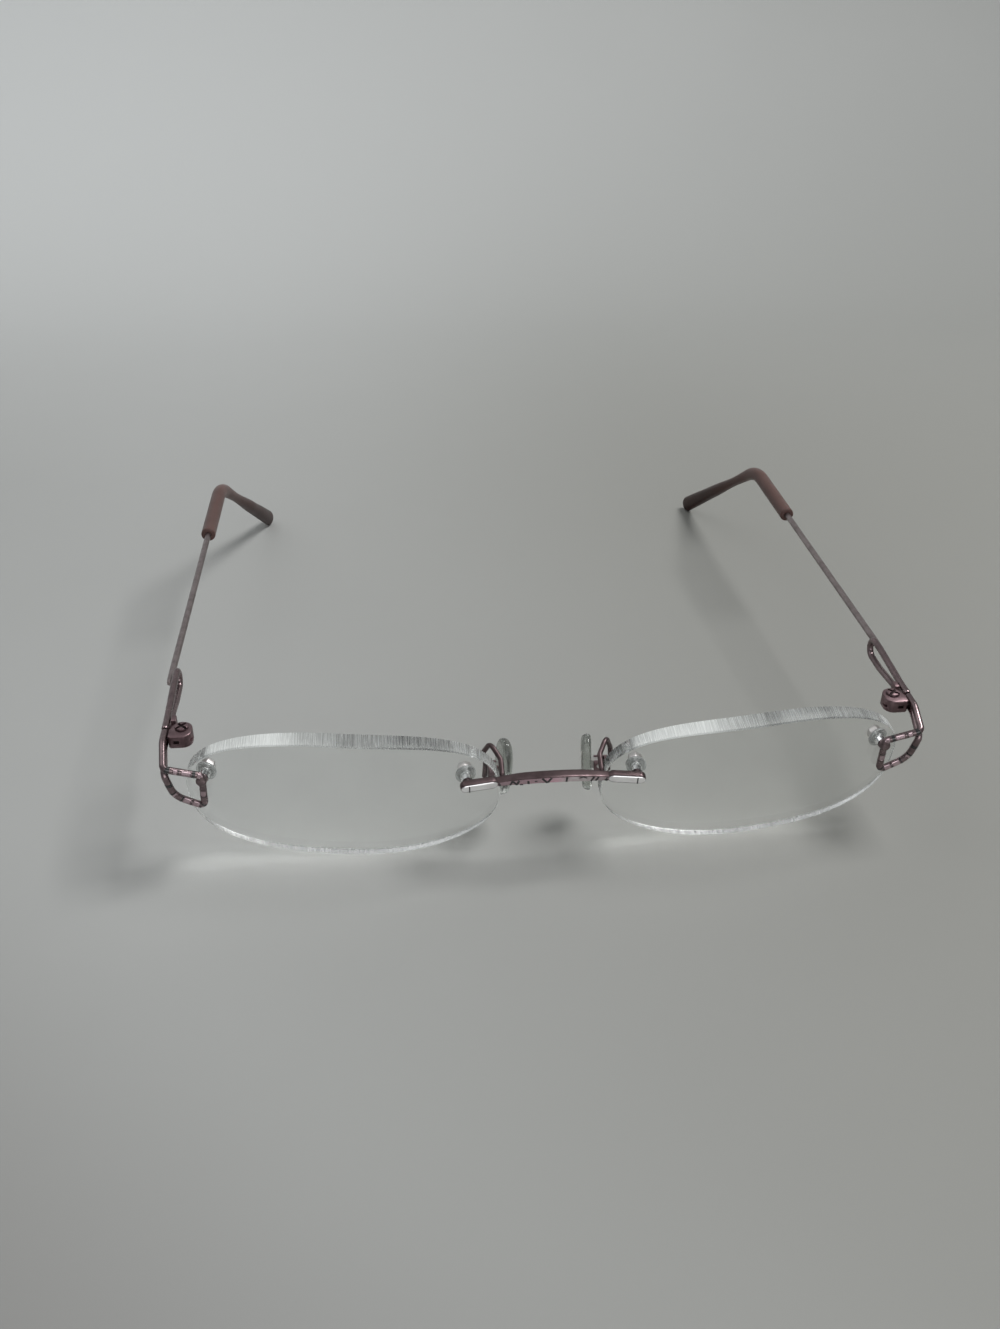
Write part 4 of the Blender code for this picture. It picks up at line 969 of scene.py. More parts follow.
def stud_end(stud):
    """Where a stud ends behind its nut."""
    seats = FLANGE_THICKNESS + WASHER_THICKNESS + 2 * SEAT_GAP
    return flange_seat(stud) + seats + NUT_HEIGHT + STUD_OVERHANG


# %% Mountings
BORE = STUD_RADIUS + RUNNING_GAP
SEAT_EDGE = 0.06 * MM
WASHER_EDGE = 0.04 * MM


def bushing_mesh(stud):
    """A clear sleeve with a flange behind the lens."""
    seat = flange_seat(stud)
    profile = [
        (FLANGE_RADIUS, seat + FLANGE_THICKNESS),
        (FLANGE_RADIUS, seat),
        (SLEEVE_RADIUS, seat),
        (SLEEVE_RADIUS, SLEEVE_RECESS),
        (BORE, SLEEVE_RECESS),
        (BORE, seat + FLANGE_THICKNESS),
    ]
    return eased(turned(profile, ring=True), SEAT_EDGE)


def washer_mesh(stud):
    """A flat metal washer behind the bushing."""
    seat = flange_seat(stud) + FLANGE_THICKNESS + SEAT_GAP
    back = seat + WASHER_THICKNESS
    profile = [(WASHER_RADIUS, back), (WASHER_RADIUS, seat), (BORE, seat), (BORE, back)]
    return eased(turned(profile, ring=True), WASHER_EDGE)


def nut_mesh(stud):
    """A six-sided nut with a bored middle and chamfered corners."""
    seat = flange_seat(stud) + FLANGE_THICKNESS + WASHER_THICKNESS + 2 * SEAT_GAP
    blank = rod(NUT_RADIUS, seat, seat + NUT_HEIGHT, steps=6)
    bore = rod(BORE, seat - MM, seat + 2 * NUT_HEIGHT)
    return eased(worked(blank, [bore]), SEAT_EDGE)


for side in SIDES:
    for spot, stud in STUDS.items():
        for kind, solid, mesh, finish, slot in (
            ("clear_bushing", "lens_bushing", bushing_mesh(stud), bushing_finish, "clear_plastic"),
            ("back_washer", "rear_washer", washer_mesh(stud), steel_finish, "screw_steel"),
            ("stud_nut", "lens_nut", nut_mesh(stud), steel_finish, "screw_steel"),
        ):
            add(
                f"{kind}_{spot}", f"{solid}_{spot}", mesh, stud, side, "front", (finish,),
            )
print("mountings at", len(STUDS) * len(SIDES), "holes")

# %% [markdown]
# ## The bridge
# The bridge is one arched bar with a flattened pad on each lens. Its top is matte and its front is
# cut flat and polished, so it is lofted from squarish sections that turn a little along the arch,
# and the faces on the front take the polished finish. The pads' fronts are a little domed and
# silver, with painted shade along their lower edge, on the faces that turn down. The small cuts
# filled with black are thin strips laid on the flat, in a plain pattern of bars and zigzags.

# %% Bridge sections
BRIDGE_RISE = 1.1 * MM
BRIDGE_BOW = 0.5 * MM
BRIDGE_DEPTH = 1.9 * MM
BRIDGE_HEIGHT = 1.25 * MM
BRIDGE_TWIST = math.radians(3.0)
BRIDGE_PAD_LENGTH = 6.0 * MM
BRIDGE_PAD_REACH = 1.35 * MM
BRIDGE_PAD_DROOP = math.radians(1.0)
BRIDGE_PAD_DEPTH = 1.7 * MM
BRIDGE_PAD_HEIGHT = 1.75 * MM
BRIDGE_NECK = 0.8  # its size as a share of the arch's
BRIDGE_SHOULDER = 0.6  # where the pad starts, as a share of its height
BRIDGE_TIP = 0.24  # the flat end of the pad, as a share of its height
BRIDGE_SQUARENESS = 5.0
PAD_FRONT_SQUARENESS = 3.2  # rounder, so that the polished front is a little domed
BRIDGE_SIDES = 48
ARCH_STATIONS = 40
NECK_STEP = 0.02 * MM
SHOULDER_STEPS = 8
TIP_STEPS = 12


def bridge_pad_gap():
    """How far the pad's back lies in front of the lens at the stud."""
    depths = surface_depths(NASAL, 0.0, LENS_FRONT_RADIUS, BRIDGE_PAD_REACH)
    return SEAT_GAP - min(0.0, *depths)


def bridge_places():
    """The middle of the arch, the neck and the stud's place on the pad, and the pad's direction."""
    stud = FRONT.inverted() @ NASAL
    across, down, back = (stud.col[k].to_3d() for k in range(3))
    along = across * math.cos(BRIDGE_PAD_DROOP) + down * math.sin(BRIDGE_PAD_DROOP)
    middle = stud.translation - back * (bridge_pad_gap() + BRIDGE_PAD_DEPTH / 2)
    neck = middle - along * (BRIDGE_PAD_LENGTH - BRIDGE_PAD_REACH)
    top = Vector((0.0, neck.y - BRIDGE_BOW, middle.z + BRIDGE_RISE))
    return top, neck, middle, along


def bridge_stations():
    """Along half the bridge: centre, direction, depth, height and twist of each section."""
    top, neck, middle, along = bridge_places()
    span = (neck - top).length
    start = Vector((span, 0.0, 0.0))
    end = along * span
    stations = []
    for k in range(ARCH_STATIONS + 1):
        t = k / ARCH_STATIONS
        centre = (
            top * (2 * t**3 - 3 * t**2 + 1)
            + start * (t**3 - 2 * t**2 + t)
            + neck * (3 * t**2 - 2 * t**3)
            + end * (t**3 - t**2)
        )
        slope = (
            (neck - top) * (6 * t - 6 * t**2)
            + start * (3 * t**2 - 4 * t + 1)
            + end * (3 * t**2 - 2 * t)
        )
        slim = 1 - (1 - BRIDGE_NECK) * ease(2 * t - 1)
        twist = BRIDGE_TWIST * (1 - ease(3 * t - 2))
        stations.append(
            (centre, slope.normalized(), BRIDGE_DEPTH * slim, BRIDGE_HEIGHT * slim, twist)
        )
    rounding = BRIDGE_PAD_HEIGHT / 2
    shares = [(NECK_STEP, BRIDGE_SHOULDER)]
    for k, angle in enumerate(quarter(SHOULDER_STEPS)[1:], 1):
        swell = (1 - BRIDGE_SHOULDER) * math.sin(angle)
        shares.append((rounding * k / SHOULDER_STEPS, BRIDGE_SHOULDER + swell))
    for angle in quarter(TIP_STEPS):
        reach = BRIDGE_PAD_LENGTH - rounding + rounding * math.sin(angle)
        shares.append((reach, max(BRIDGE_TIP, math.cos(angle))))
    for distance, share in shares:
        stations.append((
            neck + along * distance,
            along,
            BRIDGE_PAD_DEPTH * (1 + share) / 2,
            BRIDGE_PAD_HEIGHT * share,
            0.0,
        ))
    return stations


def section_axes(along, twist):
    """The directions to the back and up of a section of the bridge."""
    back = UP.cross(along).normalized()
    spin = Matrix.Rotation(-twist, 3, along)
    return spin @ back, spin @ along.cross(back)


# %% Bridge body
# how squarely a face looks forward, and down for the lower edge, to take another finish; the lower
# edge takes painted shade
ARCH_FRONT_FACING = 0.86
PAD_FRONT_FACING = 0.7
LOWER_EDGE_FACING = 0.3


def bridge_mesh():
    """The whole bridge, with its two studs."""
    _, neck, stud_place, _ = bridge_places()
    half = []
    for centre, along, depth, height, twist in bridge_stations():
        back, up = section_axes(along, twist)
        squareness = PAD_FRONT_SQUARENESS if centre.x > neck.x else BRIDGE_SQUARENESS
        half.append(
            ring_points(centre, back, up, depth / 2, height / 2, squareness, BRIDGE_SIDES)
        )
    other = [[Vector((-p.x, p.y, p.z)) for p in ring] for ring in half[:0:-1]]
    bar = lofted(other + half)
    stud = rod(STUD_RADIUS, -bridge_pad_gap() - BRIDGE_PAD_DEPTH / 2, stud_end(NASAL))
    in_front = FRONT.inverted() @ NASAL
    tools = [moved(stud.copy(), place) for place in (in_front, MIRROR @ in_front)]
    tools[1].flip_normals()
    made = worked(bar, tools, "UNION")
    for face in made.polygons:
        x = abs(face.center.x)
        if x >= stud_place.x + BRIDGE_PAD_REACH:
            continue
        # painted shade: the pad's faces that turn down are painted dark
        if x > neck.x and max(face.normal.y, face.normal.z) < -LOWER_EDGE_FACING:
            face.material_index = 3
        elif x > neck.x and face.normal.y < -PAD_FRONT_FACING:
            face.material_index = 2
        elif x <= neck.x and face.normal.y < -ARCH_FRONT_FACING:
            face.material_index = 1
    return made


add(
    "arched_bridge", "bridge", bridge_mesh(), FRONT, "middle", "front",
    (matte_finish, arch_finish_with_painted_highlight, silver_finish, painted_shade_finish),
)

# %% Black cuts on the bridge
CUT_WIDTH = 0.34 * MM
CUT_PROUD = 0.02 * MM
CUT_SUNK = 0.08 * MM
STRIP_CORNERS = ((-1, CUT_PROUD), (1, CUT_PROUD), (1, -CUT_SUNK), (-1, -CUT_SUNK))
STRIP_PIECES = 6


def facet_point(x, rise, out):
    """A point over the bridge's front flat: x across the nose, rise from -1 to 1 up the flat."""
    stations = bridge_stations()
    for near, far in zip(stations, stations[1:]):
        if near[0].x <= abs(x) <= far[0].x:
            break
    share = (abs(x) - near[0].x) / max(far[0].x - near[0].x, MERGE)
    centre = near[0].lerp(far[0], min(max(share, 0.0), 1.0))
    back, up = section_axes(near[1], near[4])
    point = centre + up * near[3] / 2 * rise - back * (near[2] / 2 + out)
    return Vector((math.copysign(point.x, x), point.y, point.z))


def strip_mesh(strokes):
    """Thin raised strips on the bridge's flat, from pairs of (x, rise) places and a width."""
    half_height = BRIDGE_HEIGHT / 2
    strips = []
    for (x0, rise0), (x1, rise1), width in strokes:
        lean = Vector((x1 - x0, (rise1 - rise0) * half_height))
        aside = Vector((-lean.y, lean.x)).normalized() * width / 2
        rings = []
        for k in range(STRIP_PIECES + 1):
            x = x0 + (x1 - x0) * (k / STRIP_PIECES)
            rise = rise0 + (rise1 - rise0) * (k / STRIP_PIECES)
            rings.append([
                facet_point(x + flip * aside.x, rise + flip * aside.y / half_height, out)
                for flip, out in STRIP_CORNERS
            ])
        strips.append(rings)
    return lofted(*strips)


def stroke(x0, rise0, x1, rise1, width=CUT_WIDTH):
    """One strip, with its places across the nose in millimetres."""
    return (x0 * MM, rise0), (x1 * MM, rise1), width


LOW, HIGH = -0.72, 0.72
strokes = [
    stroke(-13.6, LOW, -13.6, HIGH, 0.2 * MM),
    stroke(-8.6, LOW, -8.9, HIGH, 0.36 * MM),
    stroke(-7.0, LOW, -6.5, HIGH),
    stroke(-6.5, HIGH, -5.9, LOW),
    stroke(-5.9, LOW, -5.4, HIGH),
    stroke(-5.4, LOW, -4.9, LOW, 0.2 * MM),
    stroke(-4.0, LOW, -4.0, 0.3),
    stroke(-3.0, 0.0, -2.6, 0.0, 0.2 * MM),
    stroke(-1.8, HIGH, -1.1, LOW),
    stroke(-1.1, LOW, -0.4, HIGH),
    stroke(1.9, LOW, 1.9, HIGH, 0.3 * MM),
    stroke(3.9, 0.35, 4.5, HIGH, 0.2 * MM),
    stroke(4.5, HIGH, 5.2, 0.35, 0.2 * MM),
    stroke(6.0, LOW, 6.4, HIGH),
    stroke(6.8, LOW, 7.2, HIGH),
    stroke(8.9, HIGH, 8.5, LOW, 0.5 * MM),
    stroke(13.6, LOW, 13.6, HIGH, 0.2 * MM),
]
add(
    "bridge_cuts", None, strip_mesh(strokes), FRONT, "middle", "front", (enamel_finish,),
)
print(len(strokes), "black cuts")

# %% [markdown]
# ## The end pieces
# Each end piece is one wire: down from the hinge, round a small window in front of the lens and
# back up to the hinge. A path with rounded corners carries the section. Diamond-cut flats on the
# front are polished, and between them sit short enamel bars that wrap round the wire's front.

# %% End piece path
STEM_BEND = 4.0 * MM
CORNER_BEND = 0.9 * MM
WINDOW_BEND = 0.7 * MM
HINGE_BLOCK_LENGTH = 2.4 * MM
BUTT_GAP = 0.24 * MM
FACING = Vector((0.0, -0.86, 0.5)).normalized()


def end_piece_corners():
    """The corners of the end piece's wire, with their bends, in the front's frame."""
    hinge = FRONT.inverted() @ PIVOT
    ends = []
    for up in (STEM_SPREAD / 2, -STEM_SPREAD / 2):
        tail = hinge @ Vector((WIRE_OUT, -BUTT_GAP / 2, up))
        knee = hinge @ Vector((WIRE_OUT, -HINGE_BLOCK_LENGTH - WIRE_RADIUS, up))
        ends.append((tail, knee))
    (upper_tail, upper_knee), (lower_tail, lower_knee) = ends
    return [
        (upper_tail, 0.0),
        (upper_knee, STEM_BEND),
        (window_point(WINDOW_WIDTH, CORNER_HEIGHT), CORNER_BEND),
        (window_point(0.0, WINDOW_TOP), WINDOW_BEND),
        (window_point(WINDOW_STEP, -WINDOW_DROP), WINDOW_BEND),
        (window_point(WINDOW_WIDTH - WINDOW_BELLY, -WINDOW_BELLY_DROP), STEM_BEND),
        (window_point(WINDOW_WIDTH, CORNER_HEIGHT - STEM_SPREAD), CORNER_BEND),
        (lower_knee, STEM_BEND),
        (lower_tail, 0.0),
    ]


FINE_SPACING = 0.1 * MM
end_path = subdivided(rounded_path(end_piece_corners()), FINE_SPACING)
end_distances = distances_of(end_path)


def corner_distances():
    """How far along the wire each corner is passed."""
    found = []
    for corner, _ in end_piece_corners():
        nearest = min(range(len(end_path)), key=lambda k: (end_path[k] - corner).length)
        found.append(end_distances[nearest])
    return found


def on_legs(spans):
    """Spans given as (leg, start, end) shares of a leg, turned into distances along the wire."""
    passed = corner_distances()
    found = []
    for leg, start, end in spans:
        length = passed[leg + 1] - passed[leg]
        found.append((passed[leg] + start * length, passed[leg] + end * length))
    return found


# %% End piece bodies
BOSS_RADIUS = 0.85 * MM
BOSS_HEIGHT = 1.3 * MM
BOSS_EDGE = 0.4 * MM
STUD_CHAMFER = 0.08 * MM
TOP_BAR, UPRIGHT, LOWER_BAR, OUTER_BAR = 2, 3, 4, 5  # legs of the wire, counted from the hinge
flats = on_legs([
    (TOP_BAR, 0.46, 0.72),
    (TOP_BAR, 0.24, 0.36),
    (TOP_BAR, 0.90, 1.0),
    (UPRIGHT, 0.48, 0.64),
    (LOWER_BAR, 0.12, 0.36),
    (LOWER_BAR, 0.44, 0.70),
    (OUTER_BAR, 0.02, 0.12),
])
bars = on_legs([
    (TOP_BAR, 0.04, 0.16),
    (TOP_BAR, 0.38, 0.42),
    (TOP_BAR, 0.74, 0.84),
    (UPRIGHT, 0.42, 0.45),
    (UPRIGHT, 0.66, 0.69),
    (UPRIGHT, 0.92, 0.98),
    (LOWER_BAR, 0.06, 0.10),
    (LOWER_BAR, 0.37, 0.43),
    (LOWER_BAR, 0.72, 0.80),
    (OUTER_BAR, 0.14, 0.22),
    (OUTER_BAR, 0.50, 0.66),
])


def boss_mesh():
    """The stud of an end piece, with the round boss that joins it to the wire."""
    front = -SEAT_GAP
    crown = front - BOSS_HEIGHT
    end = stud_end(TEMPORAL)
    profile = [
        (0.0, end),
        (STUD_RADIUS - STUD_CHAMFER, end),
        (STUD_RADIUS, end - STUD_CHAMFER),
        (STUD_RADIUS, front),
        (BOSS_RADIUS, front),
    ]
    profile += [
        (BOSS_RADIUS - BOSS_EDGE * (1 - math.cos(a)), crown + BOSS_EDGE * (1 - math.sin(a)))
        for a in quarter(6)
    ]
    return turned(profile + [(0.0, crown)])


end_wire = wire(end_path, WIRE_RADIUS, flats, FACING, spacing=FINE_SPACING)
boss = moved(boss_mesh(), FRONT.inverted() @ TEMPORAL)
end_piece = worked(end_wire, [boss], "UNION")


# %% Enamel bars on the end pieces
ENAMEL_ARC = math.radians(80.0)  # to each side of the wire's front
ENAMEL_STEPS = 16
ENAMEL_PROUD = 0.03 * MM
ENAMEL_SUNK = 0.12 * MM


def bar_mesh(spans, points, radius, facing):
    """Shells round the front of a wire, one for each span along it."""
    arc = [ENAMEL_ARC * (2 * k / ENAMEL_STEPS - 1) for k in range(ENAMEL_STEPS + 1)]
    section = [(angle, radius + ENAMEL_PROUD) for angle in arc]
    section += [(angle, radius - ENAMEL_SUNK) for angle in reversed(arc)]
    stations = list(zip(points, directions_of(points), distances_of(points)))
    shells = []
    for start, end in spans:
        rings = []
        for centre, along, distance in stations:
            if start <= distance <= end:
                toward = (facing - along * facing.dot(along)).normalized()
                across = along.cross(toward)
                rings.append([
                    centre + (toward * math.cos(angle) + across * math.sin(angle)) * reach
                    for angle, reach in section
                ])
        shells.append(rings)
    return lofted(*shells)


enamel_bars = bar_mesh(bars, end_path, WIRE_RADIUS, FACING)
for side in SIDES:
    add(
        "window_wire", "end_piece", end_piece, FRONT, side, "front",
        (wire_finish, polished_finish),
    )
    add(
        "enamel_bars", None, enamel_bars, FRONT, side, "front", (enamel_finish,),
    )
print("each end piece has", len(flats), "flats and", len(bars), "enamel bars")

# %% [markdown]
# ## The hinges
# A hinge has three barrels on one screw: two belong to the front and the middle one to the temple.
# The blocks are plates cut to an outline seen from above, with their edges broken the way a casting
# is tumbled, and then the mouth, the screw's hole and a small recess cut out.

# %% Hinge blocks
HINGE_HEIGHT = 2.3 * MM
HINGE_TONGUE = 0.8 * MM
HINGE_ARM_LENGTH = 3.4 * MM
HINGE_ARM_WIDTH = 0.8 * MM
HINGE_FOOT_START = 2.0 * MM
HINGE_FOOT_HEIGHT = 2.4 * MM
HINGE_SCREW_RADIUS = 0.6 * MM
HINGE_HEAD_RADIUS = 1.1 * MM
HINGE_HEAD_HEIGHT = 0.4 * MM
HINGE_CORNER = 1.5 * MM  # the rounding of the block's inner front corner
HINGE_EDGE = 0.2 * MM
RECESS_WIDTH = 0.9 * MM
RECESS_HEIGHT = 0.6 * MM
RECESS_OUT = 0.7 * MM
RECESS_DEPTH = 0.4 * MM
FOOT_EDGE = 0.12 * MM
FOOT_OVERHANG = 0.18 * MM
SCREW_SLOT_WIDTH = 0.46 * MM
SCREW_SLOT_DEPTH = 0.3 * MM
SCREW_SLOT_TURNS = (math.radians(45.0), math.radians(135.0))


def arc_points(radius, start, end, count):
    """Points of an arc about the origin, both ends included."""
    points = []
    for k in range(count + 1):
        angle = start + (end - start) * k / count
        points.append((radius * math.cos(angle), radius * math.sin(angle)))
    return points


def knuckles_mesh():
    """The fixed half of a hinge: two barrels with a gap for the tongue, in front of a block."""
    front = -HINGE_BLOCK_LENGTH
    corner = arc_points(HINGE_CORNER, math.pi, 1.5 * math.pi, 8)
    outline = [
        (x - HINGE_RADIUS + HINGE_CORNER, y + front + HINGE_CORNER) for x, y in corner
    ]
    outline += [
        (BLOCK_REACH - HINGE_STEP, front),
        (BLOCK_REACH, front + HINGE_STEP),
        (BLOCK_REACH, -HINGE_STEP),
    ]
    outline += arc_points(HINGE_RADIUS, 0.0, math.pi, 32)
    body = eased(plate(outline, -HINGE_HEIGHT / 2, HINGE_HEIGHT / 2), HINGE_EDGE, 3)
    half_gap = HINGE_TONGUE / 2 + RUNNING_GAP
    turning = HINGE_RADIUS + RUNNING_GAP
    wide = 1.5 * BLOCK_REACH
    mouth = block((-wide, -turning, -half_gap), (wide, turning, half_gap))
    bore = rod(HINGE_SCREW_RADIUS + RUNNING_GAP, -HINGE_HEIGHT, HINGE_HEIGHT)
    recess = block(
        (RECESS_OUT - RECESS_WIDTH / 2, front - MM, -RECESS_HEIGHT / 2),
        (RECESS_OUT + RECESS_WIDTH / 2, front + RECESS_DEPTH, RECESS_HEIGHT / 2),
    )
    made = worked(body, [mouth, bore, recess])
    # painted shade: the recess's back wall is painted dark
    for face in made.polygons:
        if face.normal.y < -0.9 and front + 0.75 * RECESS_DEPTH < face.center.y < 0:
            face.material_index = 1
    return made


def tongue_mesh():
    """The moving half of a hinge: one barrel, with a taller foot behind the two wires."""
    inner = BLOCK_REACH - HINGE_ARM_WIDTH
    meet = math.acos(inner / HINGE_RADIUS)
    outline = [
        (BLOCK_REACH, BUTT_GAP / 2),
        (BLOCK_REACH, HINGE_ARM_LENGTH),
        (inner, HINGE_ARM_LENGTH),
    ]
    outline += arc_points(HINGE_RADIUS, meet, 2 * math.pi, 56)
    body = plate(outline, -HINGE_TONGUE / 2, HINGE_TONGUE / 2)
    half = HINGE_FOOT_HEIGHT / 2
    foot = block(
        (inner, HINGE_FOOT_START, -half), (BLOCK_REACH, HINGE_ARM_LENGTH + FOOT_OVERHANG, half)
    )
    body = worked(body, [eased(foot, FOOT_EDGE)], "UNION")
    bore = rod(HINGE_SCREW_RADIUS + RUNNING_GAP, -HINGE_HEIGHT, HINGE_HEIGHT)
    return worked(body, [bore])


# %% Hinge screw
def screw_mesh():
    """A screw about Z with a low domed head and two crossed slots."""
    seat = HINGE_HEIGHT / 2 + RUNNING_GAP
    top = seat + HINGE_HEAD_HEIGHT
    dome = HINGE_HEAD_HEIGHT / 2
    head = HINGE_HEAD_RADIUS
    shank = HINGE_SCREW_RADIUS
    profile = [(0.0, top)]
    profile += [
        (head - dome * (1 - math.sin(a)), top - dome * (1 - math.cos(a))) for a in quarter(5)[1:]
    ]
    profile += [(head, seat), (shank, seat), (shank, -seat), (0.0, -seat)]
    half = SCREW_SLOT_WIDTH / 2
    slot = block((-head, -half, top - SCREW_SLOT_DEPTH), (head, half, top + MM))
    tools = [moved(slot.copy(), turn(angle, "Z")) for angle in SCREW_SLOT_TURNS]
    made = worked(turned(profile), tools)
    # painted shade: the walls inside the slots are painted dark
    for face in made.polygons:
        in_slot = seat < face.center.z < top - SCREW_SLOT_DEPTH / 3
        if in_slot and face.center.xy.length < 0.9 * head:
            face.material_index = 1
    return made


knuckles = knuckles_mesh()
tongue = tongue_mesh()
hinge_screw = screw_mesh()
# the second finish is painted shade in the slots and the recess
slotted = (hinge_finish, painted_shade_finish)
for side in SIDES:
    add(
        "hinge_barrels", "hinge_knuckles", knuckles, PIVOT, side, "front", slotted,
    )
    add(
        "hinge_middle", "hinge_tongue", tongue, PIVOT, side, f"temple_{side}", (hinge_finish,),
    )
    add(
        "crossed_screw", "hinge_screw", hinge_screw, PIVOT, side, "front", slotted,
    )
print("hinge axis at", [round(v / MM, 1) for v in fold["pos_m"]], "mm")

# %% [markdown]
# ## The temples
# Behind the hinge comes a closed loop of wire, and a straight wire is brazed to its outside.
# It runs into the plastic tip, which bends down behind the ear and ends in a flat paddle.
# All three are sections carried along rounded paths, and the tip's section changes as it goes.

# %% Loop and temple wire
LOOP_LENGTH = 17.4 * MM
LOOP_STRAIGHT = 3.8 * MM
LOOP_SWELL = 12.2 * MM
LOOP_UP = 1.35 * MM
LOOP_DOWN = 1.85 * MM
LOOP_BEND = 5.0 * MM
LOOP_ROOT = 1.7 * MM
TEMPLE_RADIUS = 0.58 * MM
TEMPLE_OVERLAP = 2.4 * MM
TEMPLE_START = 2.0 * MM
TOE_IN = math.radians(1.0)
TO_BEND = 93.2 * MM
EAR_LENGTH = 43.0 * MM
EAR_DROP = math.radians(35.5)
EAR_TURN_IN = math.radians(11.0)
EAR_BEND = 13.0 * MM
TIP_CLOSED_END = 9.0 * MM
TEMPLE_SPACING = 0.8 * MM


def loop_path():
    """The temple's loop: out from the hinge along the top, and back along the bottom."""
    half = LOOP_ROOT / 2
    end_bend = (LOOP_UP + LOOP_DOWN) / 2
    corners = [
        (BUTT_GAP / 2, half, 0.0),
        (LOOP_STRAIGHT, half, LOOP_BEND),
        (LOOP_SWELL, LOOP_UP, LOOP_BEND),
        (LOOP_LENGTH, LOOP_UP, end_bend),
        (LOOP_LENGTH, -LOOP_DOWN, end_bend),
        (LOOP_SWELL, -LOOP_DOWN, LOOP_BEND),
        (LOOP_STRAIGHT, -half, LOOP_BEND),
        (BUTT_GAP / 2, -half, 0.0),
    ]
    return rounded_path([(Vector((WIRE_OUT, y, z)), bend) for y, z, bend in corners])


def temple_line():
    """The temple wire's corners: its front end, the end of its straight start, and the bend."""
    x = WIRE_OUT + WIRE_RADIUS + SEAT_GAP + TEMPLE_RADIUS
    z = (LOOP_UP - LOOP_DOWN) / 2
    behind = LOOP_LENGTH + TEMPLE_START
    bend_x = x - (TO_BEND - behind) * math.tan(TOE_IN)
    front = Vector((x, LOOP_LENGTH - TEMPLE_OVERLAP, z))
    return front, Vector((x, behind, z)), Vector((bend_x, TO_BEND, z))


EAR = Vector((
    -math.cos(EAR_DROP) * math.sin(EAR_TURN_IN),
    math.cos(EAR_DROP) * math.cos(EAR_TURN_IN),
    -math.sin(EAR_DROP),
))
front_end, behind_loop, ear_bend = temple_line()
wire_end = ear_bend + EAR * (EAR_LENGTH - TIP_CLOSED_END)
temple_path = rounded_path([
    (front_end, 0.0), (behind_loop, EAR_BEND), (ear_bend, EAR_BEND), (wire_end, 0.0),
])
loop = wire(loop_path(), WIRE_RADIUS)
temple = wire(temple_path, TEMPLE_RADIUS, spacing=TEMPLE_SPACING)

# %% Plastic tip
TIP_LENGTH = 66.0 * MM
TIP_RADIUS = 1.45 * MM
PADDLE_WIDTH = 3.8 * MM
PADDLE_THICKNESS = 2.4 * MM
PADDLE_LENGTH = 22.0 * MM
WAIST = 0.26  # how much slimmer the tip is just past the bend
WAIST_LENGTH = 12.0 * MM
MOUTH_ROUNDING = 0.3 * MM
MOUTH_STEPS = 4
MOUTH_DEPTH = 4.0 * MM
TIP_BORE_GAP = 0.05 * MM
TIP_SPACING = 0.6 * MM
TIP_SIDES = 32
TIP_SHARP = math.radians(60.0)
END_FLAT = 0.02  # the flat at the very end of the tip, as a share of its width


def tip_mesh():
    """A plastic sleeve over the end of the wire, flattened into a paddle."""
    ahead = (ear_bend - behind_loop).normalized()
    mouth = ear_bend - ahead * (TIP_LENGTH - EAR_LENGTH)
    end = ear_bend + EAR * EAR_LENGTH
    path = rounded_path([(mouth, 0.0), (ear_bend, EAR_BEND), (end, 0.0)])
    path = subdivided(path, TIP_SPACING)
    nose = PADDLE_WIDTH / 2
    while (path[-1] - end).length < nose:
        path.pop()
    path += [end - EAR * nose * (1 - math.sin(angle)) for angle in quarter(12)]
    lip = [mouth + ahead * MOUTH_ROUNDING * k / MOUTH_STEPS for k in range(MOUTH_STEPS)]
    path = lip + path[1:]
    directions = directions_of(path)
    distances = distances_of(path)
    total = distances[-1]
    bore = TEMPLE_RADIUS + TIP_BORE_GAP
    outside = []
    for centre, along, distance in zip(path, directions, distances):
        across = along.cross(UP).normalized()
        up = across.cross(along)
        left = total - distance
        beyond = (centre - ear_bend).dot(EAR) / WAIST_LENGTH
        swell = ease(1 - left / PADDLE_LENGTH) if beyond > 0 else 0.0
        waist = 1 - WAIST * ease(beyond) * ease(2 - beyond)
        width = (TIP_RADIUS + (PADDLE_WIDTH / 2 - TIP_RADIUS) * swell) * waist
        thickness = (TIP_RADIUS + (PADDLE_THICKNESS / 2 - TIP_RADIUS) * swell) * waist
        if left < nose:
            around = max(END_FLAT, math.sqrt(max(0.0, 1 - (1 - left / nose) ** 2)))
            width *= around
            thickness *= around
        if distance < MOUTH_ROUNDING:
            tuck = MOUTH_ROUNDING * (1 - math.sqrt(1 - (1 - distance / MOUTH_ROUNDING) ** 2))
            width -= tuck
            thickness -= tuck
        outside.append(ring_points(centre, across, up, thickness, width, 2, TIP_SIDES))
    across = ahead.cross(UP).normalized()
    up = across.cross(ahead)
    inside = [
        ring_points(mouth + ahead * depth, across, up, bore, bore, 2, TIP_SIDES)
        for depth in (MOUTH_DEPTH, 0.0)
    ]
    return lofted(inside + outside)


tip_body = tip_mesh()
for side in SIDES:
    body = f"temple_{side}"
    add("wire_loop", "temple_loop", loop, PIVOT, side, body, (wire_finish,))
    add("straight_wire", "temple_wire", temple, PIVOT, side, body, (temple_finish,))
    add(
        "brown_tip", "temple_tip", tip_body, PIVOT, side, body, (tip_finish,),
        sharp=TIP_SHARP,
    )
print("temple path of", round(distances_of(temple_path)[-1] / MM, 1), "mm")

# %% [markdown]
# ## The nose pads
# A pad is soft clear plastic moulded over a small metal lug, and it rocks on a screw in a box.
# Its face is a little domed and its rim is round, so it is lofted from rings of one outline
# that shrink towards both sides. The lug is seen through it. The lugs, boxes and screws stay as
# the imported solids, with their edges broken.

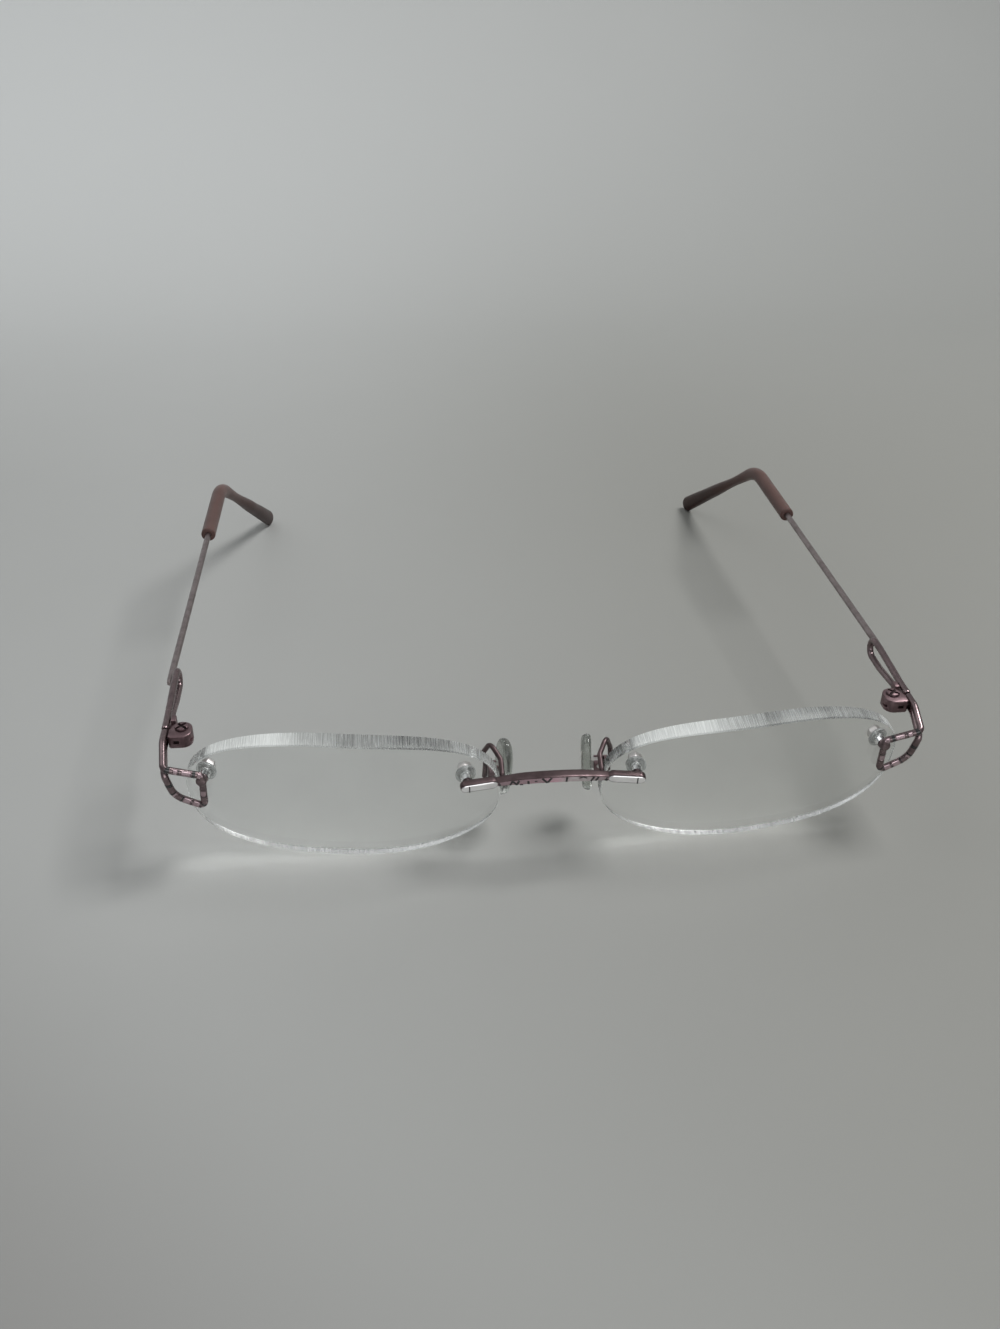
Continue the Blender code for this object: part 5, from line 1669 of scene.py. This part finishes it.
# %% Pad places
PAD_LENGTH = 10.5 * MM
PAD_WIDTH = 7.0 * MM
PAD_THICKNESS = 1.8 * MM
PAD_SQUARENESS = 2.3
PAD_FLAT_SIDE = 0.75
PAD_INSET = 0.7 * MM
PAD_DROP = 1.8 * MM
PAD_BACK = 8.9 * MM
PAD_SPLAY = math.radians(8.0)
PAD_LEAN = math.radians(5.0)
PAD_TILT = math.radians(7.0)
LUG_TAB_RADIUS = 0.8 * MM
BOX_BACK_WALL = 0.5 * MM
BOX_HALF = LUG_TAB_RADIUS + SEAT_GAP
PAD_FROM_BOX = 0.35 * MM
PAD_FROM_AXIS = BOX_HALF + PAD_FROM_BOX


def rocking_frame():
    """The screw of a nose pad: X points away from the nose, Y along the screw, Z up the pad."""
    place = FRONT @ shift(LENS_GAP / 2 - PAD_INSET, PAD_BACK, -PAD_DROP)
    aim = turn(-PAD_SPLAY, "Z") @ turn(-PAD_LEAN, "Y") @ turn(-PAD_TILT, "X")
    return place @ aim @ shift(PAD_FROM_AXIS, 0.0, 0.0)


ROCKING = rocking_frame()
PAD_FACING = frame_along(Vector(), X_AXIS, Y_AXIS)


# %% Pad body
PAD_POINTS = 72
PAD_FACE_RINGS = 6
PAD_FACE_ROUND = 1.0 * MM
PAD_BACK_ROUND = 0.6 * MM
PAD_CROWN = 0.12 * MM  # how far the middle of the face stands out


def pad_mesh():
    """A soft pad with a domed face and a round rim."""
    outline = []
    for k in range(PAD_POINTS):
        x, y = squared(2 * math.pi * (k + 0.5) / PAD_POINTS, PAD_SQUARENESS)
        if x < 0:
            x *= PAD_FLAT_SIDE
        outline.append((x, y))
    back = -PAD_FROM_AXIS
    face = back - PAD_THICKNESS
    levels = []
    for k in range(1, PAD_FACE_RINGS):
        share = math.sqrt(k / PAD_FACE_RINGS)
        inset = (1 - share) * PAD_WIDTH / 2 + PAD_FACE_ROUND * share
        levels.append((inset, face + PAD_CROWN * share**2))
    for angle in quarter(8):
        levels.append((
            PAD_FACE_ROUND * (1 - math.sin(angle)),
            face + PAD_CROWN + (PAD_FACE_ROUND - PAD_CROWN) * (1 - math.cos(angle)),
        ))
    for angle in quarter(6):
        levels.append((
            PAD_BACK_ROUND * (1 - math.cos(angle)), back - PAD_BACK_ROUND * (1 - math.sin(angle)),
        ))
    rings = []
    for inset, z in levels:
        wide = PAD_WIDTH / 2 - inset
        long = PAD_LENGTH / 2 - inset
        rings.append([Vector((x * wide, y * long, z)) for x, y in outline])
    return lofted(rings)


# %% Pad arm, box, lug and screw
PAD_ARM_RADIUS = 0.42 * MM
PAD_ARM_FOOT = 8.05 * MM
PAD_ARM_RUN = 4.6 * MM  # where the first leg ends, behind the front's middle
PAD_ARM_CLIMB = 1.0 * MM  # and how far it has climbed there
PAD_ARM_TOP = (1.5 * MM, 7.6 * MM, 1.9 * MM)  # out from the foot, back, and up from the foot
PAD_ARM_OVER_BOX = 3.2 * MM
PAD_ARM_BEND = 1.4 * MM
BOX_EDGE = 0.05 * MM
PAD_SCREW_EDGE = 0.04 * MM


def pad_arm_path():
    """The pad arm's wire in the front's frame, from the bridge up, over and down to the box."""
    top, neck, _, _ = bridge_places()
    share = PAD_ARM_FOOT / neck.x
    foot_z = top.z + (neck.z - top.z) * share**2
    foot_y = top.y + (neck.y - top.y) * share + BRIDGE_DEPTH / 2 + SEAT_GAP
    rocking = FRONT.inverted() @ ROCKING
    beside = BOX_HALF + BOX_BACK_WALL + SEAT_GAP + PAD_ARM_RADIUS
    out, behind, up = PAD_ARM_TOP
    return rounded_path([
        (Vector((PAD_ARM_FOOT, foot_y, foot_z)), 0.0),
        (Vector((PAD_ARM_FOOT, PAD_ARM_RUN, foot_z + PAD_ARM_CLIMB)), PAD_ARM_BEND),
        (Vector((PAD_ARM_FOOT + out, behind, foot_z + up)), PAD_ARM_BEND),
        (rocking @ Vector((beside, 0.0, PAD_ARM_OVER_BOX)), PAD_ARM_BEND),
        (rocking @ Vector((beside, 0.0, -BOX_HALF)), 0.0),
    ])


def broken_edges(name, finish, width):
    """A solid that stays: its edges are broken and it takes a finish."""
    solid = frame["nodes"][name]
    bevel(solid, width)
    solid.data.materials.clear()
    solid.data.materials.append(finish)


pad = pad_mesh()
pad_arm = wire(pad_arm_path(), PAD_ARM_RADIUS)
for side in SIDES:
    add(
        "soft_pad", "nose_pad", pad, ROCKING @ PAD_FACING, side, f"pad_{side}", (pad_finish,),
    )
    add(
        "looped_pad_arm", "pad_arm", pad_arm, FRONT, side, "front", (matte_finish,),
    )
    broken_edges(f"pad_box_{side}", hinge_finish, BOX_EDGE)
    broken_edges(f"pad_lug_{side}", steel_finish, BOX_EDGE)
    broken_edges(f"pad_screw_{side}", steel_finish, PAD_SCREW_EDGE)
print("pads of", round(PAD_LENGTH / MM, 1), "mm")

# %% [markdown]
# ## The table and the light
# A sweep of pale board runs under the glasses and curves up behind them, so that the camera sees
# no edge. Its tone holds painted light and shade: painted shade makes it darker to the right and in
# the near corner, as a table is away from a window, and painted light makes the wall paler as it
# rises and on the left.
# The key light, high on the right, throws the soft shadows. A broad fill from behind on the left
# and a low light in front open the shadows and draw the long highlights on the wires, and a grey
# surround lights the rest.

# %% Sweep
FLOOR_WIDTH = 1.6
FLOOR_FRONT = -0.7
COVE_START = 0.24
COVE_RADIUS = 0.22
WALL_TOP = 1.0
WALL_LEAN = math.radians(80.0)
COVE_STEPS = 24
FLOOR_DROP = 0.02 * MM


def sweep_mesh():
    """A board that lies flat and then curves up into a wall."""
    line = [(FLOOR_FRONT, 0.0)]
    for k in range(COVE_STEPS + 1):
        angle = k / COVE_STEPS * WALL_LEAN
        line.append((
            COVE_START + COVE_RADIUS * math.sin(angle), COVE_RADIUS * (1 - math.cos(angle)),
        ))
    y, z = line[-1]
    line.append((y + math.cos(WALL_LEAN) * WALL_TOP, z + math.sin(WALL_LEAN) * WALL_TOP))
    body = bmesh.new()
    rows = []
    for y, z in line:
        rows.append([body.verts.new((x, y, z - FLOOR_DROP)) for x in (-FLOOR_WIDTH, FLOOR_WIDTH)])
    for near, far in zip(rows, rows[1:]):
        body.faces.new((near[0], near[1], far[1], far[0]))
    mesh = mesh_from(body, "sweep")
    mesh.shade_smooth()
    return mesh


def board():
    """Pale board with a barely uneven tone, with painted shade to the right and in the near corner,
    and painted light on the wall and to the left.
    """
    finish = Finish("pale board")
    cloud = finish.noise(60.0 * MM)
    across = finish.coordinate(0)
    back = finish.coordinate(1)
    # painted light: the board is painted paler as it rises into the wall
    painted_light_up_the_wall = finish.fade(back, 0.05, 0.45, curve="SMOOTHSTEP")
    # painted light and shade: the wall is painted paler on the left and darker on the right
    wall_painted_darker_rightward = finish.fade(across, -0.3, 0.3, curve="SMOOTHSTEP")
    # painted shade: the floor is painted darker to the right of the glasses
    beside = finish.fade(across, -0.1, 0.08, curve="SMOOTHSTEP")
    # painted shade: the floor is painted darker in the near corner
    corner = finish.fade(across + back, -0.14, -0.235, curve="SMOOTHSTEP")
    wall = finish.mixed(wall_painted_darker_rightward, (0.66, 0.675, 0.67, 1), (0.30, 0.305, 0.295, 1))
    floor = finish.mixed(cloud, (0.40, 0.405, 0.395, 1), (0.375, 0.38, 0.37, 1))
    floor = finish.mixed(beside, floor, (0.25, 0.25, 0.232, 1))
    floor = finish.mixed(corner, floor, (0.268, 0.265, 0.255, 1))
    finish.set("Base Color", finish.mixed(painted_light_up_the_wall, floor, wall))
    finish.set("Roughness", cloud * 0.1 + 0.6)
    finish.bump(finish.noise(0.8 * MM), 0.08, 0.02 * MM)
    return finish.material


sweep = bpy.data.objects.new("sweep", sweep_mesh())
sweep.data.materials.append(board())
bpy.context.scene.collection.objects.link(sweep)
sweep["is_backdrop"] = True

# %% Lights
def softbox(name, place, target, width, height, watts):
    """A broad rectangular light turned to a target."""
    data = bpy.data.lights.new(name, "AREA")
    data.shape = "RECTANGLE"
    data.size = width
    data.size_y = height
    data.energy = watts
    light = bpy.data.objects.new(name, data)
    bpy.context.scene.collection.objects.link(light)
    light.location = place
    aim = Vector(target) - Vector(place)
    light.rotation_euler = aim.to_track_quat("-Z", "Y").to_euler()


# each has its place and its target, and then its width, height and power
softbox("key light", (0.36, 0.08, 0.66), (0.0, 0.0, 0.0), 0.28, 0.28, 3.9)
softbox("fill light", (-0.65, 0.35, 0.9), (-0.1, 0.1, 0.0), 0.9, 0.9, 2.4)
softbox("front light", (0.1, -0.9, 0.35), (0.0, 0.0, 0.0), 0.9, 0.5, 2.4)
world = bpy.data.worlds.new("surround")
world.use_nodes = True
surround = world.node_tree.nodes["Background"]
surround.inputs["Color"].default_value = (0.93, 0.97, 1.0, 1.0)
surround.inputs["Strength"].default_value = 0.26
bpy.context.scene.world = world
bpy.context.scene.view_settings.view_transform = "Standard"

# %% [markdown]
# ## The sizes of the solids and the dressed glasses
# The dressed glasses have to stay as big as the solids, so both boxes are written side by side.

# %% Write the sizes
dressed_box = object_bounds()
for name, box in (("solids", solid_box), ("dressed", dressed_box)):
    print(name, [[round(v / MM, 2) for v in corner] for corner in box])
